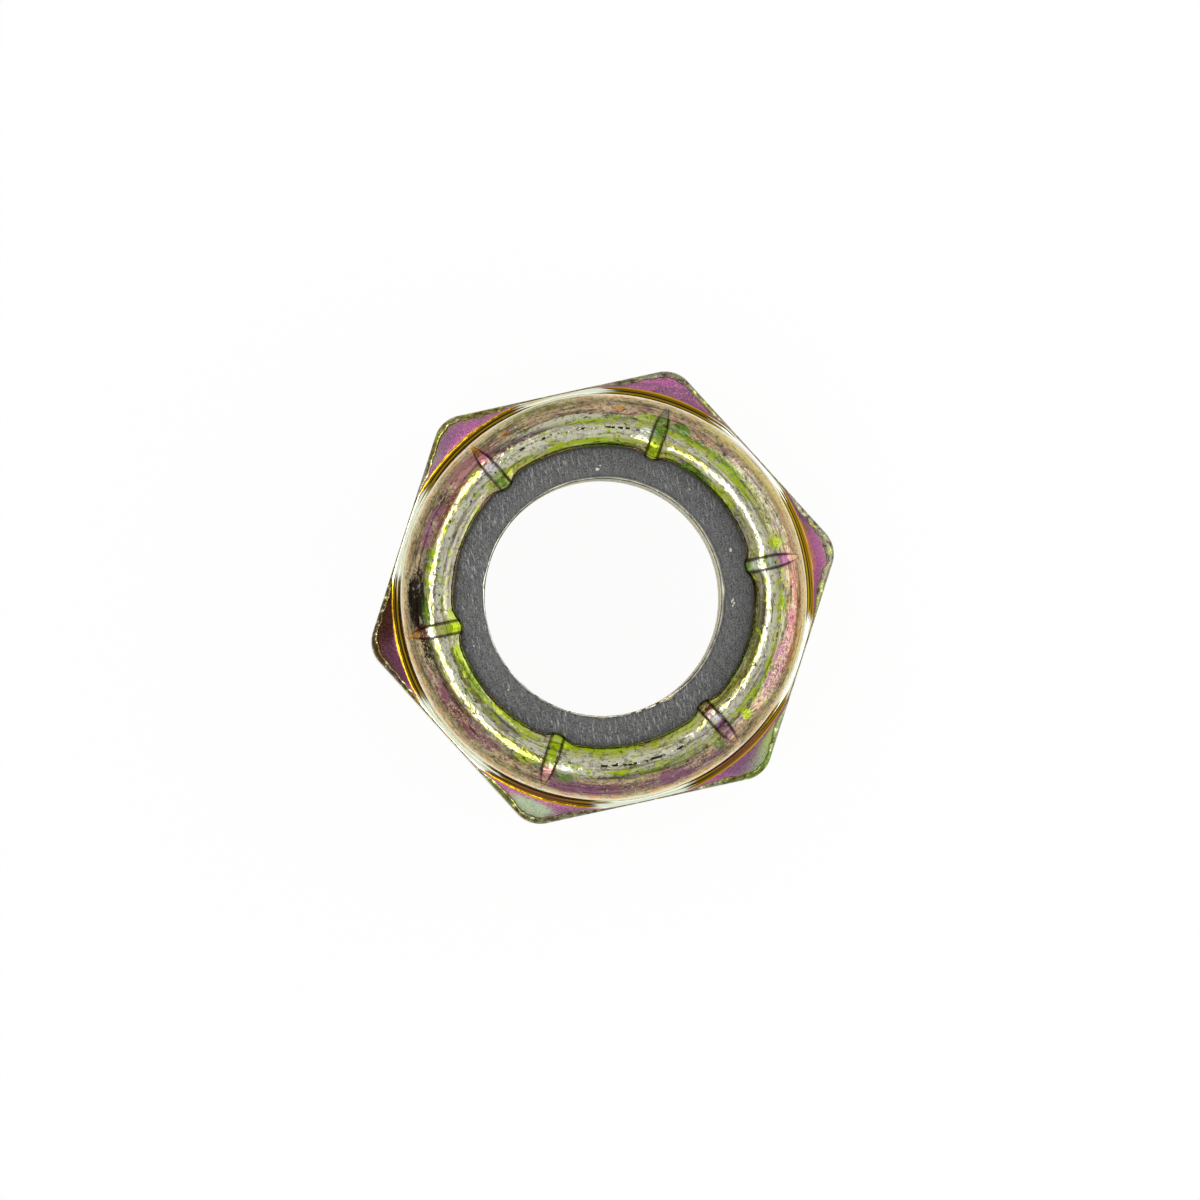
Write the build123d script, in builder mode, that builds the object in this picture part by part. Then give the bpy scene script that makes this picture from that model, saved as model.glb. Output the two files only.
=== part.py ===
from build123d import *
from math import radians, sqrt, tan
import os

# Nylon insert lock nut with a 1/2 in coarse thread, regular height.
# Millimetres, +Z up along the thread axis. The origin is the centre of the bearing face,
# and one corner of the hexagon lies on +X.

# Hexagon
corner_count = 6
across_flats = 19.05
corner_radius = 1.4
hex_height = 9.9
shoulder_edge = 0.1
bearing_setback = 0.475
bearing_chamfer_angle = 30

# Thread: the bore has the diameter of the thread's crests
major_diameter = 12.7
thread_depth = 0.95
thread_length = 11.05
countersink_rim = 0.25

# Collar, rolled over the insert to hold it
collar_setback = 0.275
collar_wall = 1.175
neck_chamfer = 0.38
crown_radius = 1.675
bend_chamfer = 0.4

# Lip, the free edge of the collar above the insert
lip_width = 2.41
lip_thickness = 1.13
lip_edge_radius = 0.6

# Stakes, where the lip is struck down and pushed in over the insert
stake_count = 6
stake_setback = 0.1
stake_straight = 0.96
stake_width = 0.6
stake_depth = 0.36
stake_fall = 0.3
bulge_reach = 0.29
bulge_radius = 0.8
bulge_blend = 1.2

# Insert
insert_thickness = 2.9
insert_clearance = 0.02
insert_bore_relief = 0.08
insert_edge = 0.15

# Radii and heights that follow from the sizes above
major_radius = major_diameter / 2
minor_radius = major_radius - thread_depth
countersink_radius = major_radius + countersink_rim
corner_reach = across_flats / sqrt(3)
bearing_radius = across_flats / 2 - bearing_setback
bearing_chamfer = (corner_reach - bearing_radius) * tan(radians(bearing_chamfer_angle))
collar_radius = across_flats / 2 - collar_setback
pocket_radius = collar_radius - collar_wall
crest_radius = collar_radius - crown_radius
lip_radius = collar_radius - lip_width
bulge_centre = lip_radius - bulge_reach + bulge_radius
stake_tip = collar_radius - stake_setback
stake_root = lip_radius - 2 * bulge_reach
insert_top = thread_length + insert_thickness
overall_height = insert_top + lip_thickness
crown_base = overall_height - crown_radius
insert_radius = pocket_radius - insert_clearance
insert_bore_radius = minor_radius + insert_bore_relief


def crown_at(radius):
    """Height of the rolled crown at a distance from the thread axis."""
    return crown_base + sqrt(crown_radius**2 - (radius - crest_radius) ** 2)


# Cutter for one stake: straight sides at the lip, drawn to a point at the tip, with a floor
# that leaves the crown at the tip and sinks below it towards the lip
with BuildPart() as stake_cutter:
    with BuildSketch(Plane.XZ):
        with BuildLine():
            tip = (stake_tip, crown_at(stake_tip))
            crest = (crest_radius, overall_height - stake_depth)
            root = (stake_root, overall_height - stake_depth - stake_fall)
            ThreePointArc(tip, crest, root)
            Polyline(root, (stake_root, overall_height), (stake_tip, overall_height), tip)
        make_face()
    extrude(amount=stake_width, both=True)
    with BuildSketch():
        with BuildLine():
            root_corner = (stake_root, stake_width / 2)
            straight_end = (lip_radius + stake_straight, stake_width / 2)
            Line((stake_root, 0), root_corner)
            Line(root_corner, straight_end)
            TangentArc(straight_end, (stake_tip, 0), tangent=(1, 0))
            mirror(about=Plane.XZ)
        make_face()
    extrude(amount=overall_height, mode=Mode.INTERSECT)

with BuildPart() as nut_body:
    # Turned blank: bearing chamfer, shoulder, neck, collar and the crown rolled over it
    with BuildSketch(Plane.YZ) as blank:
        with BuildLine():
            Polyline(
                (0, 0),
                (bearing_radius, 0),
                (corner_reach, bearing_chamfer),
                (corner_reach, hex_height),
                (collar_radius, hex_height),
                (collar_radius, overall_height),
                (0, overall_height),
                close=True,
            )
        make_face()
        neck = blank.vertices().sort_by_distance((collar_radius, hex_height, 0))[0]
        chamfer(neck, neck_chamfer)
    revolve(axis=Axis.Z)
    fillet(nut_body.edges().sort_by(Axis.Z)[-1], crown_radius)

    # Six flats with rounded upright corners
    with BuildSketch() as hexagon:
        RegularPolygon(across_flats / 2, corner_count, major_radius=False)
        fillet(hexagon.vertices(), corner_radius)
    extrude(amount=overall_height, mode=Mode.INTERSECT)
    shoulder = nut_body.edges().filter_by_position(Axis.Z, hex_height, hex_height)
    rim = shoulder.filter_by(
        lambda edge: edge.geom_type == GeomType.LINE or edge.radius < collar_radius
    )
    chamfer(rim, shoulder_edge)

    # Bore and countersink
    Hole(minor_radius)
    bore_mouth = nut_body.edges().filter_by(GeomType.CIRCLE).group_by(Axis.Z)[0]
    chamfer(bore_mouth.sort_by(SortBy.RADIUS)[0], countersink_radius - minor_radius)

    # Pocket that holds the insert
    with BuildSketch(Plane.YZ) as pocket:
        with Locations((0, thread_length)):
            Rectangle(pocket_radius, insert_thickness, align=(Align.MIN, Align.MIN))
        bend = pocket.vertices().sort_by_distance((pocket_radius, insert_top, 0))[0]
        chamfer(bend, bend_chamfer)
    revolve(axis=Axis.Z, mode=Mode.SUBTRACT)

    # Mouth of the lip, with a bulge at each stake
    with BuildSketch(Plane.XY.offset(insert_top)) as mouth:
        Circle(lip_radius)
        with PolarLocations(bulge_centre, stake_count):
            Circle(bulge_radius, mode=Mode.SUBTRACT)
        fillet(mouth.vertices(), bulge_blend)
    extrude(amount=lip_thickness, mode=Mode.SUBTRACT)
    lip_rim = nut_body.edges(Select.LAST).filter_by_position(
        Axis.Z, overall_height, overall_height
    )
    fillet(lip_rim, lip_edge_radius)

    # Stakes
    with PolarLocations(0, stake_count):
        add(stake_cutter.part, mode=Mode.SUBTRACT)

# Insert: a plain ring that fills the pocket under the lip
with BuildPart() as nylon_insert:
    with BuildSketch(Plane.YZ) as ring:
        with Locations((insert_bore_radius, thread_length)):
            Rectangle(
                insert_radius - insert_bore_radius,
                insert_thickness,
                align=(Align.MIN, Align.MIN),
            )
        outer_top = ring.vertices().sort_by_distance((insert_radius, insert_top, 0))[0]
        chamfer(outer_top, bend_chamfer)
        chamfer(ring.vertices().group_by(Axis.X)[0], insert_edge)
    revolve(axis=Axis.Z)

nut_body.part.label = "nut_body"
nylon_insert.part.label = "nylon_insert"

os.makedirs("parts", exist_ok=True)
export_step(nut_body.part, "parts/nut_body.step")
export_step(nylon_insert.part, "parts/nylon_insert.step")
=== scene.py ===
"""Looks of a nylon insert lock nut: iridescent yellow plating, staked collar, thread and nylon ring.

Sizes in the classes are millimetres, and turns are degrees from the corner of the hexagon that lies on +X.
Meshes are made in metres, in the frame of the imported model. A place along the section is a distance from
the crest of the crown: outwards, down the side and under the nut it grows, and into the hole it falls.
"""

import logging
import math
from dataclasses import dataclass, field
from enum import Enum
from typing import Sequence, Union

import bmesh
import bpy
import numpy as np
from mathutils import Matrix, Vector, noise


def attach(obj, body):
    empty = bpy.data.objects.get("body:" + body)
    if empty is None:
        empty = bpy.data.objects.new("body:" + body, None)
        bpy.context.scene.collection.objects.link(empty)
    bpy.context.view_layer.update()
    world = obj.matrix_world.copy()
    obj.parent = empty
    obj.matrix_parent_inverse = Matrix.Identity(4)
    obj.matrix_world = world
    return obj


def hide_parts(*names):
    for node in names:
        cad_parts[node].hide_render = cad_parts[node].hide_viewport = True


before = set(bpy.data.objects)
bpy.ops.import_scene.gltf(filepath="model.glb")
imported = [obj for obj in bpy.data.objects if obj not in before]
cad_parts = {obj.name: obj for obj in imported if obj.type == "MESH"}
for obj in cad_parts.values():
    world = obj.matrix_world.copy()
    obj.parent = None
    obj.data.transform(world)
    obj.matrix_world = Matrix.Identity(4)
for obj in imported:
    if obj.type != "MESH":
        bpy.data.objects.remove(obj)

MM = 0.001

# Places along the nut's section where one face gives way to the next, the thread's apart from the rest
POCKET = -1.55
LIP_EDGE = -1.02
WALL = 2.3
NECK_TOP = 5.9
NECK_FOOT = 6.4
SHOULDER = 6.5
RIM = 8.2
FLATS_TOP = 8.8
FLATS_FOOT = 17.2
BEARING_EDGE = 18.5
COUNTERSINK = 24.0
AXIS = 28.0
THREAD = 30.0

Array = np.ndarray
Colour = tuple[float, float, float, float]
Triple = tuple[float, float, float]
Socket = bpy.types.NodeSocket
Value = Union[Socket, float]


class Tint(Enum):
    """Colours that the plating takes, as display values from 0 to 255."""

    LIME = (168, 190, 34)
    LEAF = (102, 140, 46)
    OLIVE = (128, 124, 62)
    MOSS = (104, 108, 70)
    REED = (182, 178, 98)
    HUSK = (176, 172, 120)
    ASH = (208, 208, 182)
    SILVER = (214, 212, 190)
    STONE = (150, 144, 130)
    FAWN = (190, 164, 138)
    TAN = (186, 158, 110)
    STRAW = (228, 214, 158)
    CREAM = (236, 230, 196)
    MAIZE = (220, 200, 112)
    GOLD = (214, 166, 40)
    BRONZE = (150, 122, 12)
    UMBER = (70, 48, 14)
    RUST = (128, 70, 58)
    SAGE = (164, 180, 152)
    GRASS = (176, 196, 110)
    AMBER = (216, 150, 66)
    PEACH = (222, 178, 148)
    ROSE = (192, 138, 134)
    PINK = (196, 118, 138)
    MAUVE = (158, 110, 130)
    MAGENTA = (172, 98, 148)
    ORCHID = (188, 112, 166)
    VIOLET = (128, 88, 126)
    PLUM = (86, 50, 72)
    WINE = (92, 30, 44)
    MAROON = (50, 22, 16)
    SOOT = (40, 34, 26)
    PALE = (250, 255, 234)
    IVORY = (252, 248, 228)
    BRASS = (198, 168, 100)
    CHAMPAGNE = (208, 184, 124)
    CLAY = (198, 158, 116)
    FERN = (184, 174, 106)
    LAVENDER = (232, 222, 238)

    def linear(self) -> Colour:
        """Scene-linear colour with full opacity."""
        return display_to_linear(self.value)


class Blend(Enum):
    """Ways in which one colour lies over another."""

    COVER = "MIX"
    DEEPEN = "MULTIPLY"


Paint = Union[Socket, Tint, Colour]
Stops = tuple[tuple[float, Tint], ...]


def display_to_linear(colour: Sequence[float]) -> Colour:
    """Turn a display colour into a scene-linear one.

    Args:
        colour: red, green and blue from 0 to 255.

    Returns:
        Linear red, green and blue, and an opacity of 1.
    """
    parts = []
    for channel in colour:
        level = channel / 255
        parts.append(level / 12.92 if level <= 0.04045 else ((level + 0.055) / 1.055) ** 2.4)
    return (parts[0], parts[1], parts[2], 1.0)


def smooth(value: Array) -> Array:
    """Ease from 0 to 1 as value goes from 0 to 1."""
    held = np.clip(value, 0.0, 1.0)
    return held * held * (3.0 - 2.0 * held)


def ripple(points: Array, wavelength: float, seed: float) -> Array:
    """Smooth noise at points.

    Args:
        points: rows of three coordinates, in mm.
        wavelength: distance between neighbouring swells, in mm.
        seed: offset that picks another part of the noise.

    Returns:
        One value from about -1 to 1 for each point.
    """
    shift = Vector((seed, 2.7 * seed, -1.3 * seed))
    return np.array([noise.noise(Vector(point) / wavelength + shift) for point in points])


def turn_apart(turn: Array, place: float) -> Array:
    """Turns from a place, in degrees from -180 to 180."""
    return (turn - place + 180.0) % 360.0 - 180.0


def round_axis(turn: Array, radius: object, height: object = 0.0) -> Array:
    """Points round the thread axis.

    Args:
        turn: turns of the points, in degrees.
        radius: their distance from the axis, one for all or one each.
        height: their height, one for all or one each.

    Returns:
        Rows of three coordinates.
    """
    angle = np.radians(turn)
    level = height * np.ones(len(turn))
    return np.stack([radius * np.cos(angle), radius * np.sin(angle), level], axis=1)


def direction(zenith: float, azimuth: float) -> Vector:
    """Unit vector that leans from +Z by the zenith angle, towards the azimuth.

    Args:
        zenith: lean in degrees.
        azimuth: turn round +Z from +X, in degrees.

    Returns:
        The vector.
    """
    lean = math.radians(zenith)
    turn = math.radians(azimuth)
    return Vector((math.sin(lean) * math.cos(turn), math.sin(lean) * math.sin(turn), math.cos(lean)))


def stand(name: str, data: bpy.types.ID) -> bpy.types.Object:
    """Put a mesh, lamp or lens into the scene.

    Args:
        name: the object's name.
        data: what it holds.

    Returns:
        The object.
    """
    obj = bpy.data.objects.new(name, data)
    bpy.context.scene.collection.objects.link(obj)
    return obj


def aim(obj: bpy.types.Object, target: Vector, distance: float, right: Vector, away: Vector) -> None:
    """Place a lamp or camera so that it faces a point.

    Args:
        obj: the lamp or camera, which faces along its own -Z.
        target: the point it faces, in metres.
        distance: how far from it the object stands, in metres.
        right: the object's own +X.
        away: unit vector from the point to the object.
    """
    turned = Matrix((right, away.cross(right), away)).transposed().to_4x4()
    obj.matrix_world = Matrix.Translation(target + distance * away) @ turned


@dataclass(frozen=True)
class Stain:
    """A soft patch of one colour on the plating, placed by turn and distance along the section."""

    tint: Tint
    turn: float
    along: float
    half_turn: float
    half_width: float
    strength: float = 1.0

    def cover(self, turn: Array, along: Array) -> Array:
        """Share of the surface that the stain covers.

        Args:
            turn: turns of the points, in degrees.
            along: places of the points along the section.

        Returns:
            Cover from 0 to 1 at each point.
        """
        aside = turn_apart(turn, self.turn) / self.half_turn
        reach = aside**2 + ((along - self.along) / self.half_width) ** 2
        return np.minimum(1.0, self.strength * np.exp(-0.9 * reach))


@dataclass
class Ring:
    """One ring of points round the thread axis, in mm, with what the finish needs to know there."""

    radius: Array
    height: Array
    turn: Array
    along: Array
    crease: Array

    @classmethod
    def even(cls, turn: Array, radius: object, height: object, along: object, crease: float = 0.0) -> "Ring":
        """Make a ring from values that may be the same all round.

        Args:
            turn: turns of the points, in degrees.
            radius: distance from the axis, one for all or one each.
            height: height, one for all or one each.
            along: place along the section, one for all or one each.
            crease: how much painted shade the finish draws on the ring, from 0 to 1.

        Returns:
            The ring.
        """
        full = np.ones(len(turn))
        return cls(radius * full, height * full, turn, along * full, crease * full)


@dataclass(frozen=True)
class Mottle:
    """A noise pattern: how fine, detailed, rough and curled it is, and how it is laid over the wrap."""

    scale: float
    detail: float = 4.0
    rough: float = 0.55
    curl: float = 0.0
    stretch: Triple = (1.0, 1.0, 1.0)
    shift: Triple = (0.0, 0.0, 0.0)


class Sheet:
    """A node tree being drawn up, with short calls for the nodes that a finish needs."""

    def __init__(self, name: str) -> None:
        """Start an empty material.

        Args:
            name: the material's name.
        """
        self.material = bpy.data.materials.new(name)
        self.material.use_nodes = True
        self.tree = self.material.node_tree
        self.tree.nodes.clear()
        self.output = self.tree.nodes.new("ShaderNodeOutputMaterial")

    def add(self, kind: str, *values: object, **settings: object) -> bpy.types.Node:
        """Add a node.

        Args:
            kind: its type.
            values: what its first inputs take, in order.
            settings: properties to set on it.

        Returns:
            The node.
        """
        node = self.tree.nodes.new(kind)
        for key, setting in settings.items():
            setattr(node, key, setting)
        for socket, value in zip(node.inputs, values):
            self.feed(socket, value)
        return node

    def feed(self, socket: Socket, value: object) -> None:
        """Link a socket to an output, or set it to a plain value.

        Args:
            socket: the input to fill.
            value: a node's output, a number, a vector, a tint or a colour.
        """
        if isinstance(value, bpy.types.NodeSocket):
            self.tree.links.new(value, socket)
        else:
            socket.default_value = value.linear() if isinstance(value, Tint) else value

    def attribute(self, name: str) -> bpy.types.Node:
        """Read a value stored on the mesh."""
        return self.add("ShaderNodeAttribute", attribute_name=name)

    def math(self, operation: str, first: Value, second: Value = 0.0, clamp: bool = False) -> Socket:
        """Arithmetic on two numbers."""
        return self.add("ShaderNodeMath", first, second, operation=operation, use_clamp=clamp).outputs[0]

    def flip(self, value: Value) -> Socket:
        """One less the value."""
        return self.math("SUBTRACT", 1.0, value)

    def swing(self, value: Value) -> Socket:
        """Noise from 0 to 1 moved to swing about 0."""
        return self.math("SUBTRACT", value, 0.5)

    def gap(self, value: Value, place: Value) -> Socket:
        """How far the value is from a place, either way."""
        return self.math("ABSOLUTE", self.math("SUBTRACT", value, place))

    def times(self, *values: Value) -> Socket:
        """Multiply numbers.

        Args:
            values: two or more numbers.

        Returns:
            Their product.
        """
        product = values[0]
        for value in values[1:]:
            product = self.math("MULTIPLY", product, value)
        return product

    def blend(self, first: Value, *parts: tuple[Value, float]) -> Socket:
        """Add weighted numbers to a first one.

        Args:
            first: the number to start from.
            parts: the others, each with its weight.

        Returns:
            The sum.
        """
        total = first
        for value, weight in parts:
            total = self.math("ADD", total, self.math("MULTIPLY", value, weight))
        return total

    def step(self, value: Value, low: float, high: float) -> Socket:
        """Ease from 0 at low to 1 at high."""
        node = self.add("ShaderNodeMapRange", value, low, high, interpolation_type="SMOOTHSTEP")
        return node.outputs["Result"]

    def fall(self, value: Value, low: float, high: float) -> Socket:
        """Ease from 1 at low to 0 at high."""
        return self.flip(self.step(value, low, high))

    def band(self, value: Value, start: float, full: float, fade: float, end: float) -> Socket:
        """Ease from 0 at start to 1 at full, and back from 1 at fade to 0 at end."""
        return self.times(self.step(value, start, full), self.fall(value, fade, end))

    def stretched(self, vector: Value, scale: Triple, shift: Triple = (0.0, 0.0, 0.0)) -> Socket:
        """Stretch a vector along its axes, then move it.

        Args:
            vector: the vector.
            scale: how much it is stretched along each axis.
            shift: how far it is moved along each.

        Returns:
            The new vector.
        """
        node = self.add("ShaderNodeMapping")
        self.feed(node.inputs["Vector"], vector)
        self.feed(node.inputs["Scale"], scale)
        self.feed(node.inputs["Location"], shift)
        return node.outputs["Vector"]

    def noise(self, vector: Value, look: Mottle) -> Socket:
        """Draw a noise pattern.

        Args:
            vector: where on the surface each point is.
            look: the pattern.

        Returns:
            Noise from 0 to 1.
        """
        node = self.add("ShaderNodeTexNoise")
        self.feed(node.inputs["Vector"], self.stretched(vector, look.stretch, look.shift))
        self.feed(node.inputs["Scale"], look.scale)
        self.feed(node.inputs["Detail"], look.detail)
        self.feed(node.inputs["Roughness"], look.rough)
        self.feed(node.inputs["Distortion"], look.curl)
        return node.outputs["Fac"]

    def near(self, vector: Value, place: Triple, reach: float) -> Socket:
        """One within reach of a place, and 0 past one and a half times that."""
        node = self.add("ShaderNodeVectorMath", vector, place, operation="DISTANCE")
        return self.fall(node.outputs["Value"], reach, 1.5 * reach)

    def ramp(self, value: Value, stops: Stops, low: float, high: float) -> Socket:
        """Lay colours along a value.

        Args:
            value: the value.
            stops: places between low and high, each with its tint.
            low: value at the ramp's start.
            high: value at its end.

        Returns:
            The colour's socket.
        """
        span = high - low
        share = self.math("DIVIDE", self.math("SUBTRACT", value, low), span, clamp=True)
        node = self.add("ShaderNodeValToRGB", share)
        elements = node.color_ramp.elements
        while len(elements) < len(stops):
            elements.new(0.5)
        for element, (place, tint) in zip(elements, stops):
            element.position = (place - low) / span
            element.color = tint.linear()
        return node.outputs["Color"]

    def lay(
        self, under: Paint, over: Paint, cover: Value, strength: float = 1.0, blend: Blend = Blend.COVER
    ) -> Socket:
        """Lay one colour over another.

        Args:
            under: the colour beneath.
            over: the colour on top.
            cover: where the top one lies, from 0 to 1.
            strength: how strong it is there.
            blend: the way they blend.

        Returns:
            The colour's socket.
        """
        factor = cover if strength == 1.0 else self.times(cover, strength)
        node = self.add("ShaderNodeMix", data_type="RGBA", blend_type=blend.value)
        for place, value in ((0, factor), (6, under), (7, over)):
            self.feed(node.inputs[place], value)
        return node.outputs[2]

    def finish(self, relief: Value, depth: float, strength: float, **inputs: object) -> bpy.types.Material:
        """End the material with its shader.

        Args:
            relief: pattern of heights that tilts the shading normal.
            depth: height of the relief at 1, in mm.
            strength: how strongly it tilts.
            inputs: what the shader's other inputs take, named as they are with _ for a space.

        Returns:
            The material.
        """
        bump = self.add("ShaderNodeBump")
        self.feed(bump.inputs["Strength"], strength)
        self.feed(bump.inputs["Distance"], depth * MM)
        self.feed(bump.inputs["Height"], relief)
        shader = self.add("ShaderNodeBsdfPrincipled")
        self.feed(shader.inputs["Normal"], bump.outputs["Normal"])
        for name, value in inputs.items():
            self.feed(shader.inputs[name.replace("_", " ")], value)
        self.feed(self.output.inputs["Surface"], shader.outputs[0])
        return self.material


@dataclass
class PlatingPatterns:
    """Sockets that the plating's colour, gloss and relief share."""

    along: Socket
    ragged: Socket
    wrap: Socket
    crease: Socket
    corner: Socket
    cover: Socket
    stain: Socket
    fine: Socket
    grain: Socket
    lines: Socket
    dome: Socket
    shoulder: Socket
    rim: Socket
    pit_and_painted_reflection: Socket


@dataclass(frozen=True)
class PlatingFinish:
    """Yellow chromate over zinc: iridescent, mottled, pitted along the crown, with a painted dark reflection
    along the crest.
    """

    name: str = "yellow_zinc"
    ramp_start: float = -1.6
    ramp_end: float = 9.4
    roughness: float = 0.04
    wave_height: float = 0.02
    pit_line: float = 0.02
    pit_turn: float = 88.0

    # Patterns of noise
    fine: Mottle = Mottle(2.3, 5.0, 0.62, 0.9, (1.0, 1.0, 1.8), (11, 5, 3))
    grain: Mottle = Mottle(6.5, 3.0, 0.6, 0.0, (1.0, 1.0, 1.0), (3, 9, 27))
    lines: Mottle = Mottle(1.0, 4.0, 0.65, 0.3, (0.3, 0.3, 7.0), (1, 2, 3))
    swells: Mottle = Mottle(2.2, 1.5, 0.45, 0.0, (1.0, 1.0, 1.0), (8, 2, 6))
    dimples: Mottle = Mottle(5.5, 1.0, 0.4, 0.0, (1.0, 1.0, 1.5), (1, 6, 2))
    pit_dots: Mottle = Mottle(3.2, 2.0, 0.6, 0.0, (1.0, 1.0, 0.3), (6, 1, 4))
    pit_wander: Mottle = Mottle(1.1, 2.0, 0.6, 0.0, (1.0, 1.0, 0.0), (2, 7, 1))
    pit_specks: Mottle = Mottle(3.6, 3.0, 0.65, 0.0, (1.0, 1.0, 2.0), (8, 8, 1))
    patches: Mottle = Mottle(0.55, 5.0, 0.66, 0.6, (1.0, 1.0, 2.2))
    washes: Mottle = Mottle(0.8, 5.0, 0.66, 0.6, (1.0, 1.0, 2.4), (31, 17, 5))
    dapple: Mottle = Mottle(1.1, 6.0, 0.7, 0.9, (1.0, 1.0, 2.2), (9, 2, 14))
    drift: Mottle = Mottle(0.7, 4.0, 0.6, 0.0, (1.0, 1.0, 0.3), (6, 3, 17))
    veins: Mottle = Mottle(3.0, 2.0, 0.6, 1.6, (1.0, 1.0, 1.4), (13, 4, 6))
    vein_areas: Mottle = Mottle(0.7, 2.0, 0.5, 0.0, (1.0, 1.0, 1.5), (3, 12, 5))
    flecks: Mottle = Mottle(2.8, 4.0, 0.68, 0.5, (0.7, 0.7, 1.4), (5, 21, 9))
    specks: Mottle = Mottle(3.4, 4.0, 0.7, 0.4, (0.6, 0.6, 1.5), (2, 33, 7))
    cloud: Mottle = Mottle(0.13, 2.0, 0.5, 0.3, (1.0, 1.0, 0.8), (2, 14, 6))
    turned: Mottle = Mottle(1.0, 3.0, 0.6, 0.0, (0.35, 0.35, 11.0), (7, 5, 3))
    upright: Mottle = Mottle(1.0, 3.0, 0.6, 0.0, (8.0, 8.0, 0.5), (5, 3, 1))
    scuffs: Mottle = Mottle(0.9, 5.0, 0.7, 0.8, (2.0, 2.0, 2.6), (4, 9, 2))
    shoulder_cloud: Mottle = Mottle(0.7, 3.0, 0.5, 0.4, (1.0, 1.0, 1.0), (4, 4, 4))
    sand: Mottle = Mottle(11.0, 2.0, 0.6)
    rim_spots: Mottle = Mottle(3.0, 4.0, 0.72, 0.0, (1.0, 1.0, 1.0), (21, 3, 8))
    rim_tone: Mottle = Mottle(0.5, 2.0, 0.5, 0.0, (1.0, 1.0, 1.0), (2, 13, 8))

    # Colours by place along the section, and by tone for dapples and clouds
    # In main, vivid and pale, soot from the lip's edge down is painted shade on the lip's inner wall, where
    # it meets the nylon
    main: Stops = (
        (-1.2, Tint.SOOT),
        (-1.04, Tint.SOOT),
        (-1.0, Tint.MOSS),
        (-0.85, Tint.MOSS),
        (-0.65, Tint.REED),
        (-0.4, Tint.HUSK),
        (-0.15, Tint.SILVER),
        (0.05, Tint.STONE),
        (0.2, Tint.ASH),
        (0.38, Tint.REED),
        (0.58, Tint.STONE),
        (0.85, Tint.STONE),
        (1.2, Tint.FAWN),
        (1.55, Tint.FAWN),
        (1.75, Tint.TAN),
        (1.95, Tint.STRAW),
        (2.3, Tint.STRAW),
    )
    vivid: Stops = (
        (-1.04, Tint.SOOT),
        (-1.0, Tint.MOSS),
        (-0.8, Tint.LEAF),
        (-0.65, Tint.LIME),
        (-0.45, Tint.LIME),
        (-0.3, Tint.REED),
        (-0.15, Tint.ASH),
        (0.1, Tint.ASH),
        (0.22, Tint.REED),
        (0.3, Tint.LIME),
        (0.42, Tint.LIME),
        (0.52, Tint.LEAF),
        (0.62, Tint.OLIVE),
        (0.85, Tint.ROSE),
        (1.2, Tint.PEACH),
        (1.6, Tint.TAN),
        (1.8, Tint.AMBER),
        (1.95, Tint.GOLD),
        (2.15, Tint.STRAW),
    )
    pale: Stops = (
        (-1.04, Tint.SOOT),
        (-1.0, Tint.ROSE),
        (-0.85, Tint.TAN),
        (-0.6, Tint.STONE),
        (-0.35, Tint.ASH),
        (-0.1, Tint.SILVER),
        (0.15, Tint.SILVER),
        (0.35, Tint.STONE),
        (0.65, Tint.STONE),
        (0.9, Tint.MAUVE),
        (1.2, Tint.ROSE),
        (1.6, Tint.STONE),
        (1.8, Tint.TAN),
        (1.95, Tint.STRAW),
        (2.3, Tint.CREAM),
    )
    neck: Stops = (
        (5.9, Tint.GOLD),
        (5.94, Tint.BRONZE),
        (5.98, Tint.UMBER),
        (6.02, Tint.UMBER),
        (6.06, Tint.BRONZE),
        (6.12, Tint.BRONZE),
        (6.16, Tint.SOOT),
        (6.21, Tint.SOOT),
        (6.25, Tint.BRONZE),
        (6.29, Tint.UMBER),
        (6.33, Tint.BRONZE),
        (6.42, Tint.GOLD),
        (6.5, Tint.AMBER),
        (6.56, Tint.ROSE),
    )
    dapples: Stops = (
        (0.3, Tint.PLUM),
        (0.35, Tint.MAUVE),
        (0.39, Tint.OLIVE),
        (0.43, Tint.STONE),
        (0.47, Tint.TAN),
        (0.51, Tint.STRAW),
        (0.545, Tint.ROSE),
        (0.58, Tint.MAUVE),
        (0.62, Tint.OLIVE),
        (0.66, Tint.TAN),
        (0.72, Tint.STRAW),
    )
    bore: Stops = (
        (30.0, Tint.IVORY),
        (30.12, Tint.IVORY),
        (30.17, Tint.HUSK),
        (30.24, Tint.IVORY),
        (30.42, Tint.IVORY),
        (30.48, Tint.HUSK),
        (30.56, Tint.IVORY),
        (30.88, Tint.IVORY),
        (30.94, Tint.HUSK),
    )
    clouds: Stops = (
        (0.26, Tint.CLAY),
        (0.4, Tint.BRASS),
        (0.48, Tint.CHAMPAGNE),
        (0.56, Tint.BRASS),
        (0.66, Tint.FERN),
        (0.74, Tint.CHAMPAGNE),
    )

    def patterns(self, sheet: Sheet) -> PlatingPatterns:
        """Draw the patterns that the parts of the finish share.

        Args:
            sheet: the node tree.

        Returns:
            Their sockets.
        """
        along = sheet.attribute("along").outputs["Fac"]
        wrap = sheet.attribute("wrap").outputs["Vector"]
        stain = sheet.attribute("stain")
        fine = sheet.noise(wrap, self.fine)
        return PlatingPatterns(
            along=along,
            ragged=sheet.blend(along, (sheet.swing(fine), 0.35)),
            wrap=wrap,
            crease=sheet.attribute("crease").outputs["Fac"],
            corner=sheet.attribute("corner").outputs["Fac"],
            cover=stain.outputs["Alpha"],
            stain=stain.outputs["Color"],
            fine=fine,
            grain=sheet.noise(wrap, self.grain),
            lines=sheet.noise(wrap, self.lines),
            dome=sheet.fall(along, 2.0, WALL),
            shoulder=sheet.band(along, SHOULDER, 6.7, 8.0, RIM),
            rim=sheet.band(along, 8.15, 8.25, 8.7, 8.9),
            pit_and_painted_reflection=self.pits_and_painted_reflection(sheet, along, wrap),
        )

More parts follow.
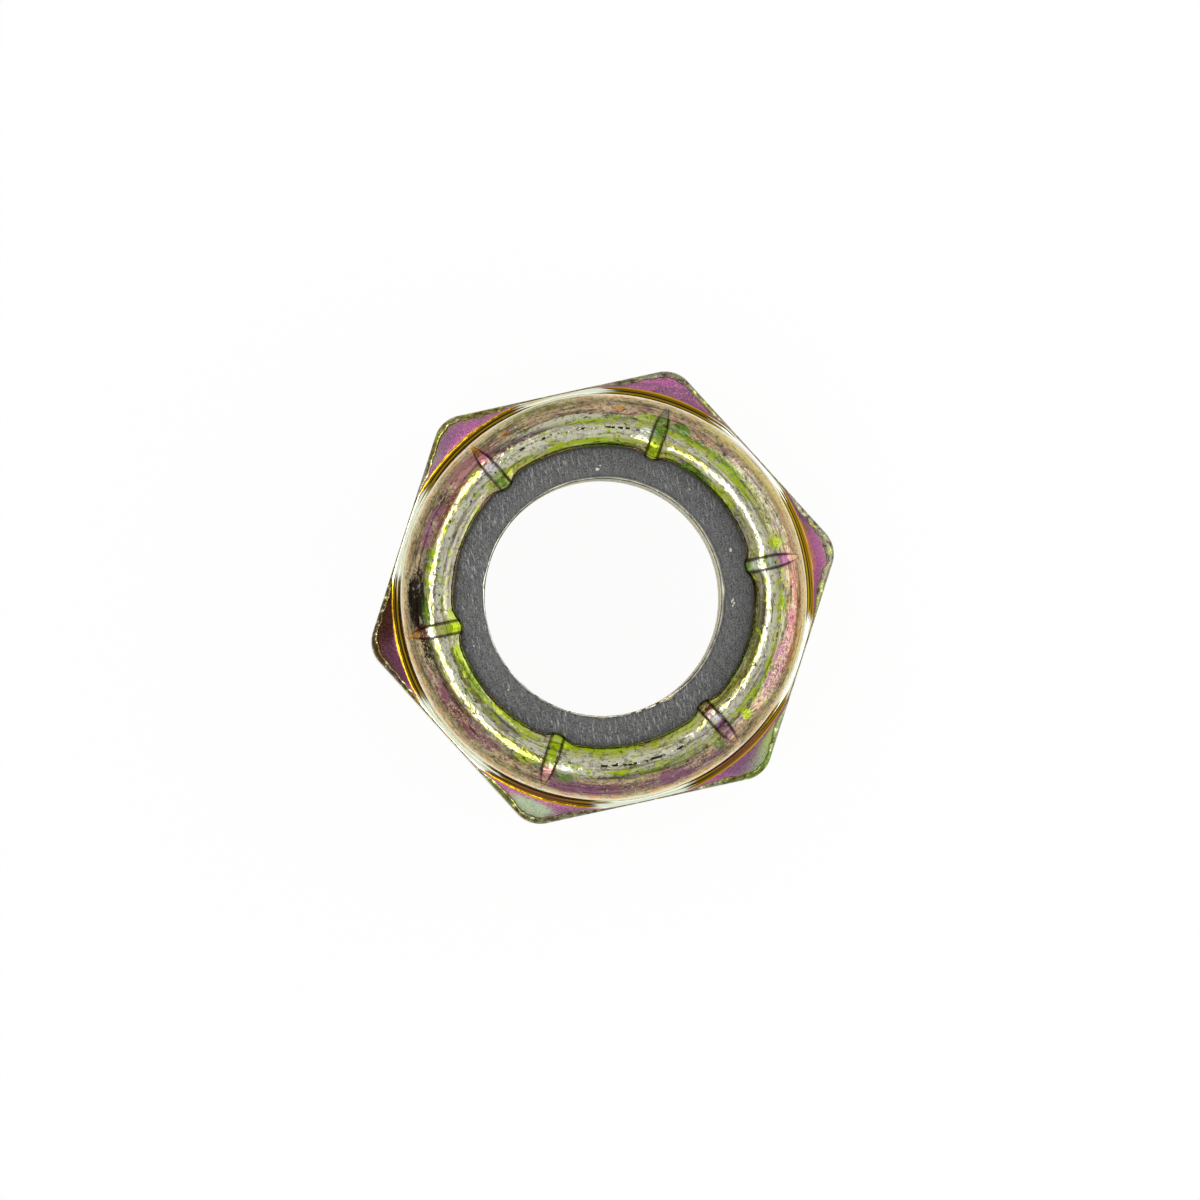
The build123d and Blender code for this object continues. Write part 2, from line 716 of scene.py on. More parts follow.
    def pits_and_painted_reflection(self, sheet: Sheet, along: Socket, wrap: Socket) -> Socket:
        """Draw the dark pits, which also paint a dark reflection on the crest: a dotted line on the crest at
        two sides, and a few beside it.

        Args:
            sheet: the node tree.
            along: place along the section.
            wrap: the mesh's wrap.

        Returns:
            One in a pit and 0 elsewhere.
        """
        wander = sheet.times(sheet.swing(sheet.noise(wrap, self.pit_wander)), 0.16)
        away = sheet.gap(along, sheet.math("ADD", self.pit_line, wander))
        turn = math.radians(self.pit_turn)
        facing = (math.cos(turn), math.sin(turn), 0.0)
        flat = sheet.stretched(wrap, (1.0, 1.0, 0.0))
        unit = sheet.add("ShaderNodeVectorMath", flat, operation="NORMALIZE")
        side = sheet.add("ShaderNodeVectorMath", unit.outputs[0], facing, operation="DOT_PRODUCT")
        sided = sheet.step(sheet.math("ABSOLUTE", side.outputs["Value"]), 0.86, 0.96)
        dots = sheet.step(sheet.noise(wrap, self.pit_dots), 0.5, 0.56)
        dotted = sheet.times(dots, sided, sheet.fall(away, 0.035, 0.06))
        specks = sheet.step(sheet.noise(wrap, self.pit_specks), 0.63, 0.67)
        return sheet.math("MAXIMUM", dotted, sheet.times(specks, sheet.fall(away, 0.2, 0.42)))

    def dome_colour(self, sheet: Sheet, has: PlatingPatterns) -> Socket:
        """Draw the dome: bands along the section, broken into patches and streaks, with painted shade on its
        steep outer slope.

        Args:
            sheet: the node tree.
            has: the shared patterns.

        Returns:
            The colour's socket.
        """
        swing = sheet.swing(has.fine)
        wander = sheet.blend(sheet.times(swing, 0.5), (sheet.swing(has.lines), 0.16))
        held = sheet.flip(sheet.times(sheet.step(has.along, 1.4, 1.9), 0.7))
        place = sheet.math("ADD", has.along, sheet.times(wander, held))
        ramps = (self.main, self.vivid, self.pale)
        main, bright, pale = (sheet.ramp(place, stops, self.ramp_start, self.ramp_end) for stops in ramps)
        vivid = sheet.step(sheet.blend(sheet.noise(has.wrap, self.patches), (swing, 0.5)), 0.485, 0.505)
        washed = sheet.step(sheet.blend(sheet.noise(has.wrap, self.washes), (swing, -0.5)), 0.535, 0.555)
        colour = sheet.lay(sheet.lay(main, bright, vivid), pale, washed)

        tone = sheet.blend(sheet.times(sheet.noise(has.wrap, self.dapple), 0.8), (has.lines, 0.2))
        dappled = sheet.ramp(tone, self.dapples, 0.25, 0.8)
        drift = sheet.swing(sheet.noise(has.wrap, self.drift))
        start = sheet.step(sheet.blend(has.along, (swing, 0.8)), 0.62, 0.82)
        end = sheet.fall(sheet.blend(has.along, (swing, 0.5), (drift, 1.1)), 1.5, 1.85)
        colour = sheet.lay(colour, dappled, sheet.times(start, end), 0.85)
        shaded = sheet.band(sheet.blend(has.along, (drift, 0.8)), 1.2, 1.34, 1.5, 1.66)
        colour = sheet.lay(colour, Tint.OLIVE, shaded, 0.55)

        stained = sheet.step(sheet.blend(has.cover, (swing, 1.1)), 0.46, 0.53)
        colour = self.flecked(sheet, has, sheet.lay(colour, has.stain, stained))
        # Painted shade: the steep outer slope of the crown is darkened towards black
        painted_shade_slope = sheet.band(has.along, 1.0, 1.3, 1.3, 1.9)
        return sheet.lay(colour, (0.0, 0.0, 0.0, 1.0), painted_shade_slope, 0.34)

    def flecked(self, sheet: Sheet, has: PlatingPatterns, colour: Socket) -> Socket:
        """Break a colour up with curled veins, streaks, and small light and dark flecks.

        Args:
            sheet: the node tree.
            has: the shared patterns.
            colour: the colour of the dome so far.

        Returns:
            The broken colour's socket.
        """
        curl = sheet.fall(sheet.gap(sheet.noise(has.wrap, self.veins), 0.5), 0.012, 0.05)
        where = sheet.step(sheet.noise(has.wrap, self.vein_areas), 0.42, 0.56)
        veined = sheet.times(curl, has.dome, where, sheet.step(has.along, 0.5, 0.8))
        colour = sheet.lay(colour, Tint.STRAW, veined, 0.85)

        flecks = sheet.noise(has.wrap, self.flecks)
        crest = sheet.band(has.along, -0.95, -0.6, 0.5, 0.8)
        colour = sheet.lay(colour, Tint.LIME, sheet.times(sheet.step(flecks, 0.58, 0.61), crest), 0.85)
        colour = sheet.lay(colour, Tint.ASH, sheet.times(sheet.fall(flecks, 0.38, 0.41), has.dome), 0.45)

        streak = sheet.times(sheet.fall(has.lines, 0.4, 0.46), has.dome)
        colour = sheet.lay(colour, Tint.STONE, streak, 0.66, Blend.DEEPEN)
        glow = sheet.times(sheet.step(has.lines, 0.56, 0.62), crest)
        colour = sheet.lay(colour, Tint.CREAM, glow, 0.28)
        tone = sheet.blend(sheet.times(has.grain, 0.55), (has.fine, 0.6))
        dark = sheet.times(sheet.fall(tone, 0.47, 0.55), has.dome)
        colour = sheet.lay(colour, Tint.STONE, dark, 0.66, Blend.DEEPEN)

        calm = sheet.flip(sheet.times(sheet.band(has.along, -0.5, -0.3, 0.3, 0.5), 0.6))
        fewer = sheet.flip(sheet.times(sheet.step(has.along, 0.8, 1.3), 0.5))
        specks = sheet.step(sheet.noise(has.wrap, self.specks), 0.58, 0.63)
        return sheet.lay(colour, Tint.UMBER, sheet.times(specks, has.dome, calm, fewer), 0.85)

    def clouded_gold(self, sheet: Sheet, has: PlatingPatterns, streak: Socket) -> Socket:
        """Draw soft gold that drifts towards clay and fern, finely streaked.

        Args:
            sheet: the node tree.
            has: the shared patterns.
            streak: noise drawn out along the streaks.

        Returns:
            The colour's socket.
        """
        cloud = sheet.times(sheet.noise(has.wrap, self.cloud), 1.2)
        tone = sheet.blend(cloud, (streak, 0.1), (has.fine, 0.08))
        colour = sheet.ramp(sheet.math("SUBTRACT", tone, 0.19), self.clouds, 0.2, 0.8)
        colour = sheet.lay(colour, Tint.FAWN, sheet.fall(streak, 0.34, 0.5), 0.2, Blend.DEEPEN)
        return sheet.lay(colour, Tint.CREAM, sheet.step(streak, 0.58, 0.7), 0.25)

    def neck_colour(self, sheet: Sheet, has: PlatingPatterns, dome: Socket) -> Socket:
        """Draw the wall and neck: gold with dark turned lines at a corner, and between the corners pale and
        streaked, a painted reflection of the white floor.

        Args:
            sheet: the node tree.
            has: the shared patterns.
            dome: the colour of the dome.

        Returns:
            The colour's socket, from the dome to the neck's foot.
        """
        streak = sheet.noise(has.wrap, self.turned)
        swing = sheet.swing(streak)
        lined = sheet.ramp(sheet.blend(has.along, (swing, 0.04)), self.neck, 5.8, 6.6)
        # Painted reflection: the neck between the corners is drawn pale, as a bright highlight line
        pale = sheet.lay(Tint.PALE, Tint.STRAW, sheet.step(streak, 0.54, 0.64))
        neck = sheet.lay(pale, lined, sheet.step(sheet.blend(has.corner, (swing, 0.9)), 0.37, 0.47))
        wall = sheet.lay(dome, self.clouded_gold(sheet, has, streak), sheet.step(has.along, WALL, 2.9))
        colour = sheet.lay(wall, neck, sheet.step(sheet.blend(has.along, (swing, 0.5)), 5.6, 5.85))
        stained = sheet.times(sheet.step(has.cover, 0.4, 0.8), sheet.step(has.along, 5.6, 5.85))
        return sheet.lay(colour, has.stain, stained, 0.7)

    def shoulder_colour(self, sheet: Sheet, has: PlatingPatterns) -> Socket:
        """Draw the shoulder: magenta, clouded with violet, stained in places, and finely grained.

        Args:
            sheet: the node tree.
            has: the shared patterns.

        Returns:
            The colour's socket.
        """
        cloud = sheet.step(sheet.noise(has.wrap, self.shoulder_cloud), 0.42, 0.66)
        colour = sheet.lay(Tint.MAGENTA, Tint.VIOLET, cloud)
        sand = sheet.noise(has.wrap, self.sand)
        dust = sheet.step(sand, 0.52, 0.66)
        colour = sheet.lay(colour, Tint.PEACH, dust, 0.36)
        cover = sheet.blend(has.cover, (sheet.swing(has.grain), 0.5))
        colour = sheet.lay(colour, has.stain, sheet.step(cover, 0.25, 0.75))
        colour = sheet.lay(colour, Tint.PEACH, dust, 0.08)
        colour = sheet.lay(colour, Tint.SOOT, sheet.fall(sand, 0.36, 0.5), 0.42)
        narrow = sheet.fall(sheet.blend(has.corner, (has.fine, 0.2)), 0.42, 0.56)
        return sheet.lay(colour, Tint.RUST, narrow)

    def rim_colour(self, sheet: Sheet, has: PlatingPatterns) -> Socket:
        """Draw the worn rim of the shoulder: olive to grey, with dark specks, and lime and cream spots that
        are painted glints.

        Args:
            sheet: the node tree.
            has: the shared patterns.

        Returns:
            The colour's socket.
        """
        spots = sheet.noise(has.wrap, self.rim_spots)
        tone = sheet.step(sheet.noise(has.wrap, self.rim_tone), 0.42, 0.58)
        colour = sheet.lay(sheet.lay(Tint.OLIVE, Tint.STONE, tone), has.stain, has.cover)
        colour = sheet.lay(colour, Tint.UMBER, sheet.fall(spots, 0.4, 0.47), 0.8)
        # Painted highlights: lime and cream glints on the rim
        bright = sheet.lay(Tint.LIME, Tint.HUSK, tone)
        colour = sheet.lay(colour, bright, sheet.step(spots, 0.55, 0.59))
        colour = sheet.lay(colour, Tint.CREAM, sheet.step(spots, 0.61, 0.64))
        return sheet.lay(colour, Tint.SOOT, sheet.band(has.ragged, 8.16, 8.22, 8.26, 8.34), 0.85)

    def side_colour(self, sheet: Sheet, has: PlatingPatterns) -> Socket:
        """Draw the clouded gold of the flats, streaked upright, the underside and the thread.

        Args:
            sheet: the node tree.
            has: the shared patterns.

        Returns:
            The colour's socket.
        """
        under = sheet.step(has.along, 18.6, 18.9)
        upright = sheet.times(sheet.noise(has.wrap, self.upright), sheet.flip(under))
        streak = sheet.math("ADD", upright, sheet.times(has.lines, under))
        colour = self.clouded_gold(sheet, has, streak)
        scuffs = sheet.step(sheet.noise(has.wrap, self.scuffs), 0.62, 0.7)
        colour = sheet.lay(colour, Tint.FAWN, scuffs, 0.3)
        bore = sheet.ramp(has.along, self.bore, THREAD, THREAD + 1.0)
        return sheet.lay(colour, bore, sheet.step(has.along, AXIS, 29.0))

    def colour(self, sheet: Sheet, has: PlatingPatterns) -> Socket:
        """Join the colours of all the faces, then draw the painted shade in the creases, and the pits, which
        also paint a dark reflection.

        Args:
            sheet: the node tree.
            has: the shared patterns.

        Returns:
            The colour's socket.
        """
        colour = self.neck_colour(sheet, has, self.dome_colour(sheet, has))
        colour = sheet.lay(colour, self.shoulder_colour(sheet, has), sheet.step(has.ragged, SHOULDER, 6.6))
        colour = sheet.lay(colour, self.rim_colour(sheet, has), sheet.step(has.ragged, 8.14, RIM))
        colour = sheet.lay(colour, self.side_colour(sheet, has), sheet.step(has.along, 8.75, 9.0))
        # Painted shade: maroon in the creases along the stakes' walls
        colour = sheet.lay(colour, Tint.MAROON, has.crease)
        # Pits, and with them a painted dark reflection along the crest
        return sheet.lay(colour, Tint.SOOT, has.pit_and_painted_reflection)

    def make(self) -> bpy.types.Material:
        """Draw up the material.

        Returns:
            The plating, which reads along, wrap, corner, crease and stain from the mesh.
        """
        sheet = Sheet(self.name)
        has = self.patterns(sheet)
        waves = sheet.blend(sheet.noise(has.wrap, self.swells), (sheet.noise(has.wrap, self.dimples), 0.22))
        waves = sheet.times(waves, sheet.flip(sheet.times(has.shoulder, 0.9)))
        nubs = sheet.times(has.grain, has.rim)
        relief = sheet.blend(waves, (has.pit_and_painted_reflection, -0.5), (nubs, 0.5))
        uneven = sheet.blend(sheet.times(has.fine, 0.2), (has.shoulder, 0.22))
        rough = sheet.math("ADD", uneven, self.roughness)
        colour = self.colour(sheet, has)
        return sheet.finish(relief, self.wave_height, 1.0, Metallic=1.0, Base_Color=colour, Roughness=rough)


@dataclass(frozen=True)
class Speck:
    """A white speck on the nylon, placed by turn and distance from the axis."""

    turn: float
    radius: float
    reach: float

    def place(self) -> Triple:
        """Where the speck lies in the wrap of the ring's top face."""
        turn = math.radians(self.turn)
        return (self.radius * math.cos(turn), self.radius * math.sin(turn), self.radius)


@dataclass(frozen=True)
class NylonFinish:
    """Dark grey nylon, matte, with fine parallel scratches and a few specks."""

    name: str = "grey_nylon"
    dark: tuple[int, int, int] = (46, 46, 46)
    base: tuple[int, int, int] = (118, 118, 117)
    light: tuple[int, int, int] = (196, 196, 196)
    # Light grey of the painted highlight at the top of the bore wall
    bore: tuple[int, int, int] = (196, 196, 192)
    roughness: float = 0.5
    scratch_depth: float = 0.03
    grain: Mottle = Mottle(14.0, 3.0, 0.7)
    scratches: Mottle = Mottle(1.3, 4.0, 0.6, 0.25, (15.0, 2.2, 0.0), (4, 1, 8))
    scratched: Mottle = Mottle(0.28, 2.0, 0.55, 0.0, (1.0, 1.0, 0.0), (9, 4, 2))
    specks: tuple[Speck, ...] = (
        Speck(80.6, 5.82, 0.07),
        Speck(79.2, 5.98, 0.035),
        Speck(39.2, 6.25, 0.04),
        Speck(8.3, 6.17, 0.06),
        Speck(7.8, 6.14, 0.05),
        Speck(-13.6, 5.87, 0.05),
        Speck(-15.0, 5.94, 0.05),
        Speck(-14.4, 5.82, 0.04),
        Speck(-16.2, 5.87, 0.04),
        Speck(188.3, 6.32, 0.035),
        Speck(212.0, 6.07, 0.035),
        Speck(128.2, 5.7, 0.04),
    )

    def make(self) -> bpy.types.Material:
        """Draw up the material.

        Returns:
            The nylon, which reads wrap, along and crease from the mesh.
        """
        sheet = Sheet(self.name)
        wrap = sheet.attribute("wrap").outputs["Vector"]
        along = sheet.attribute("along").outputs["Fac"]
        grain = sheet.noise(wrap, self.grain)
        scratch = sheet.noise(wrap, self.scratches)
        tone = sheet.step(sheet.blend(sheet.times(grain, 0.75), (scratch, 0.25)), 0.4, 0.62)
        colour = sheet.lay(display_to_linear(self.dark), display_to_linear(self.base), tone)
        where = sheet.step(sheet.noise(wrap, self.scratched), 0.4, 0.6)
        lines = sheet.times(sheet.step(scratch, 0.56, 0.68), where, 0.6)
        on_top = sheet.flip(sheet.times(sheet.step(along, 8.2, 8.3), 0.8))
        colour = sheet.lay(colour, display_to_linear(self.light), sheet.times(lines, on_top))
        jagged = sheet.math("SUBTRACT", grain, 0.35)
        for speck in self.specks:
            spot = sheet.times(sheet.near(wrap, speck.place(), speck.reach), jagged)
            colour = sheet.lay(colour, Tint.SILVER, sheet.step(spot, 0.02, 0.1))
        # Painted shadow: dark where the nylon goes under the lip's edge
        colour = sheet.lay(colour, Tint.SOOT, sheet.attribute("crease").outputs["Fac"])
        # Painted highlight: the top of the bore wall is drawn light grey
        edge = sheet.band(along, 8.22, 8.28, 8.4, 8.6)
        colour = sheet.lay(colour, display_to_linear(self.bore), edge, 0.8)
        relief = sheet.blend(sheet.times(grain, 0.4), (scratch, 0.6))
        return sheet.finish(relief, self.scratch_depth, 0.6, Base_Color=colour, Roughness=self.roughness)


@dataclass(frozen=True)
class FloorFinish:
    """Pale floor that reads as white, and keeps a soft shadow of the nut."""

    name: str = "studio_floor"
    whiteness: float = 0.95
    albedo: float = 0.9

    def make(self) -> bpy.types.Material:
        """Draw up the material.

        Returns:
            The floor's material, white to the eye and to reflections.
        """
        sheet = Sheet(self.name)
        path = sheet.add("ShaderNodeLightPath")
        seen = sheet.math("MAXIMUM", path.outputs["Is Camera Ray"], path.outputs["Is Glossy Ray"])
        seen = sheet.math("MAXIMUM", seen, path.outputs["Is Transmission Ray"])
        diffuse = sheet.add("ShaderNodeBsdfDiffuse", (self.albedo, self.albedo, self.albedo, 1.0))
        glow = sheet.add("ShaderNodeEmission")
        white = sheet.math("MULTIPLY", seen, self.whiteness)
        mixed = sheet.add("ShaderNodeMixShader", white, diffuse.outputs[0], glow.outputs[0])
        sheet.feed(sheet.output.inputs["Surface"], mixed.outputs[0])
        return sheet.material


@dataclass
class TurnPattern:
    """Turns of the columns of a ring mesh: close together at each corner, where a stake is."""

    corner_count: int = 6
    near: tuple[float, ...] = (
        0.8, 1.6, 2.1, 2.4, 2.6, 2.8, 2.95, 3.1, 3.35, 3.7, 4.2, 5.0, 6.0, 7.2, 8.5, 10.0,
    )
    far_step: float = 1.25
    crease: float = 3.0
    settle: float = 12.0

    def sector(self) -> Array:
        """Turns within one sector.

        Returns:
            Offsets from the sector's centre, from just past -30 to 30 degrees.
        """
        half = 180.0 / self.corner_count
        far = np.arange(self.near[-1] + self.far_step, half - 0.4 * self.far_step, self.far_step)
        side = np.concatenate([self.near, far])
        return np.concatenate([-side[::-1], [0.0], side, [half]])

    @property
    def centre(self) -> Array:
        """The sector's centre for every column, in degrees."""
        return np.repeat(np.arange(self.corner_count) * 360.0 / self.corner_count, len(self.sector()))

    @property
    def offset(self) -> Array:
        """The offset from the sector's centre for every column, in degrees."""
        return np.tile(self.sector(), self.corner_count)

    @property
    def turn(self) -> Array:
        """The turn of every column where no stake draws it in, in degrees."""
        return self.centre + self.offset

    def pinched(self, half_angle: float) -> Array:
        """Offsets drawn in so that the crease column lies at half_angle.

        Args:
            half_angle: half of the stake's width as an angle, in degrees.

        Returns:
            New offsets, unchanged past the settle angle.
        """
        offset = self.offset
        size = np.abs(offset)
        inner = size / self.crease * half_angle
        share = (size - self.crease) / (self.settle - self.crease)
        outer = half_angle + share * (self.settle - half_angle)
        moved = np.where(size <= self.crease, inner, np.where(size < self.settle, outer, size))
        return np.sign(offset) * moved


@dataclass
class RingMesh:
    """Gathers rings of points and turns them into a mesh object with the finish's attributes."""

    name: str
    rings: list[Ring] = field(default_factory=list)
    faces: list[tuple[int, ...]] = field(default_factory=list)
    wrap_radius: float = 5.0
    merge_reach: float = 0.0004
    sharp_angle: float = 34.0

    def add_rings(self, rings: Sequence[Ring], closed: bool = False, seam_shift: int = 0) -> None:
        """Add rings and the quads between them.

        Args:
            rings: the rings in order along the section.
            closed: join the last ring to the first.
            seam_shift: rings that a row gains where the last column meets the first.
        """
        start = sum(len(ring.turn) for ring in self.rings)
        count = len(rings[0].turn)
        self.rings.extend(rings)
        for row in range(len(rings) if closed else len(rings) - 1):
            upper = (row + 1) % len(rings)
            for column in range(count):
                beside = (column + 1) % count
                shift = seam_shift if beside == 0 else 0
                if upper + shift >= len(rings):
                    continue
                corners = (
                    start + row * count + column,
                    start + (row + shift) * count + beside,
                    start + (upper + shift) * count + beside,
                    start + upper * count + column,
                )
                self.faces.append(corners)

    def build(self, material: bpy.types.Material, stains: Sequence[Stain] = ()) -> bpy.types.Object:
        """Make the object.

        Args:
            material: the finish.
            stains: patches of colour on it.

        Returns:
            The object, linked to the scene.
        """
        points = np.concatenate([round_axis(ring.turn, ring.radius, ring.height) for ring in self.rings])
        mesh = bpy.data.meshes.new(self.name)
        mesh.from_pydata((points * MM).tolist(), [], self.faces)
        self._store(mesh, np.hypot(points[:, 0], points[:, 1]), stains)
        obj = stand(self.name, mesh)
        self._clean(mesh)
        mesh.shade_smooth()
        mesh.set_sharp_from_angle(angle=math.radians(self.sharp_angle))
        mesh.materials.append(material)
        return obj

    def _store(self, mesh: bpy.types.Mesh, radius: Array, stains: Sequence[Stain]) -> None:
        """Write the attributes that the finishes read.

        Args:
            mesh: the mesh, with its points in place.
            radius: distances of the points from the axis, in mm.
            stains: patches of colour on it.
        """
        turn, along, crease = (
            np.concatenate([getattr(ring, name) for ring in self.rings])
            for name in ("turn", "along", "crease")
        )
        wrap = round_axis(turn, radius.clip(self.wrap_radius, None), along)
        corner = 1.0 - np.abs((turn + 30.0) % 60.0 - 30.0) / 30.0
        rows = (
            ("along", "FLOAT", "value", along),
            ("crease", "FLOAT", "value", crease),
            ("corner", "FLOAT", "value", corner),
            ("wrap", "FLOAT_VECTOR", "vector", wrap),
            ("stain", "FLOAT_COLOR", "color", self._stained(turn, along, stains)),
        )
        for name, kind, part, values in rows:
            mesh.attributes.new(name, kind, "POINT").data.foreach_set(part, values.astype(np.float32).ravel())

    @staticmethod
    def _stained(turn: Array, along: Array, stains: Sequence[Stain]) -> Array:
        """Lay the stains over each other.

        Args:
            turn: turns of the points, in degrees.
            along: places of the points along the section.
            stains: patches of colour, the last on top.

        Returns:
            A row for each point: the stains' own colour, and how much they cover.
        """
        colour = np.zeros((len(along), 4))
        for stain in stains:
            cover = stain.cover(turn, along)[:, None]
            colour = colour * (1.0 - cover) + np.array(stain.tint.linear()) * cover
        colour[:, :3] = colour[:, :3] / colour[:, 3:].clip(1e-4, None)
        return colour

    def _clean(self, mesh: bpy.types.Mesh) -> None:
        """Merge points that coincide, drop faces with no area and turn all faces outward.

        Args:
            mesh: the mesh.
        """
        work = bmesh.new()
        work.from_mesh(mesh)
        bmesh.ops.remove_doubles(work, verts=work.verts, dist=self.merge_reach * MM)
        bmesh.ops.dissolve_degenerate(work, edges=work.edges, dist=self.merge_reach * MM)
        bmesh.ops.recalc_face_normals(work, faces=work.faces)
        work.to_mesh(mesh)
        work.free()


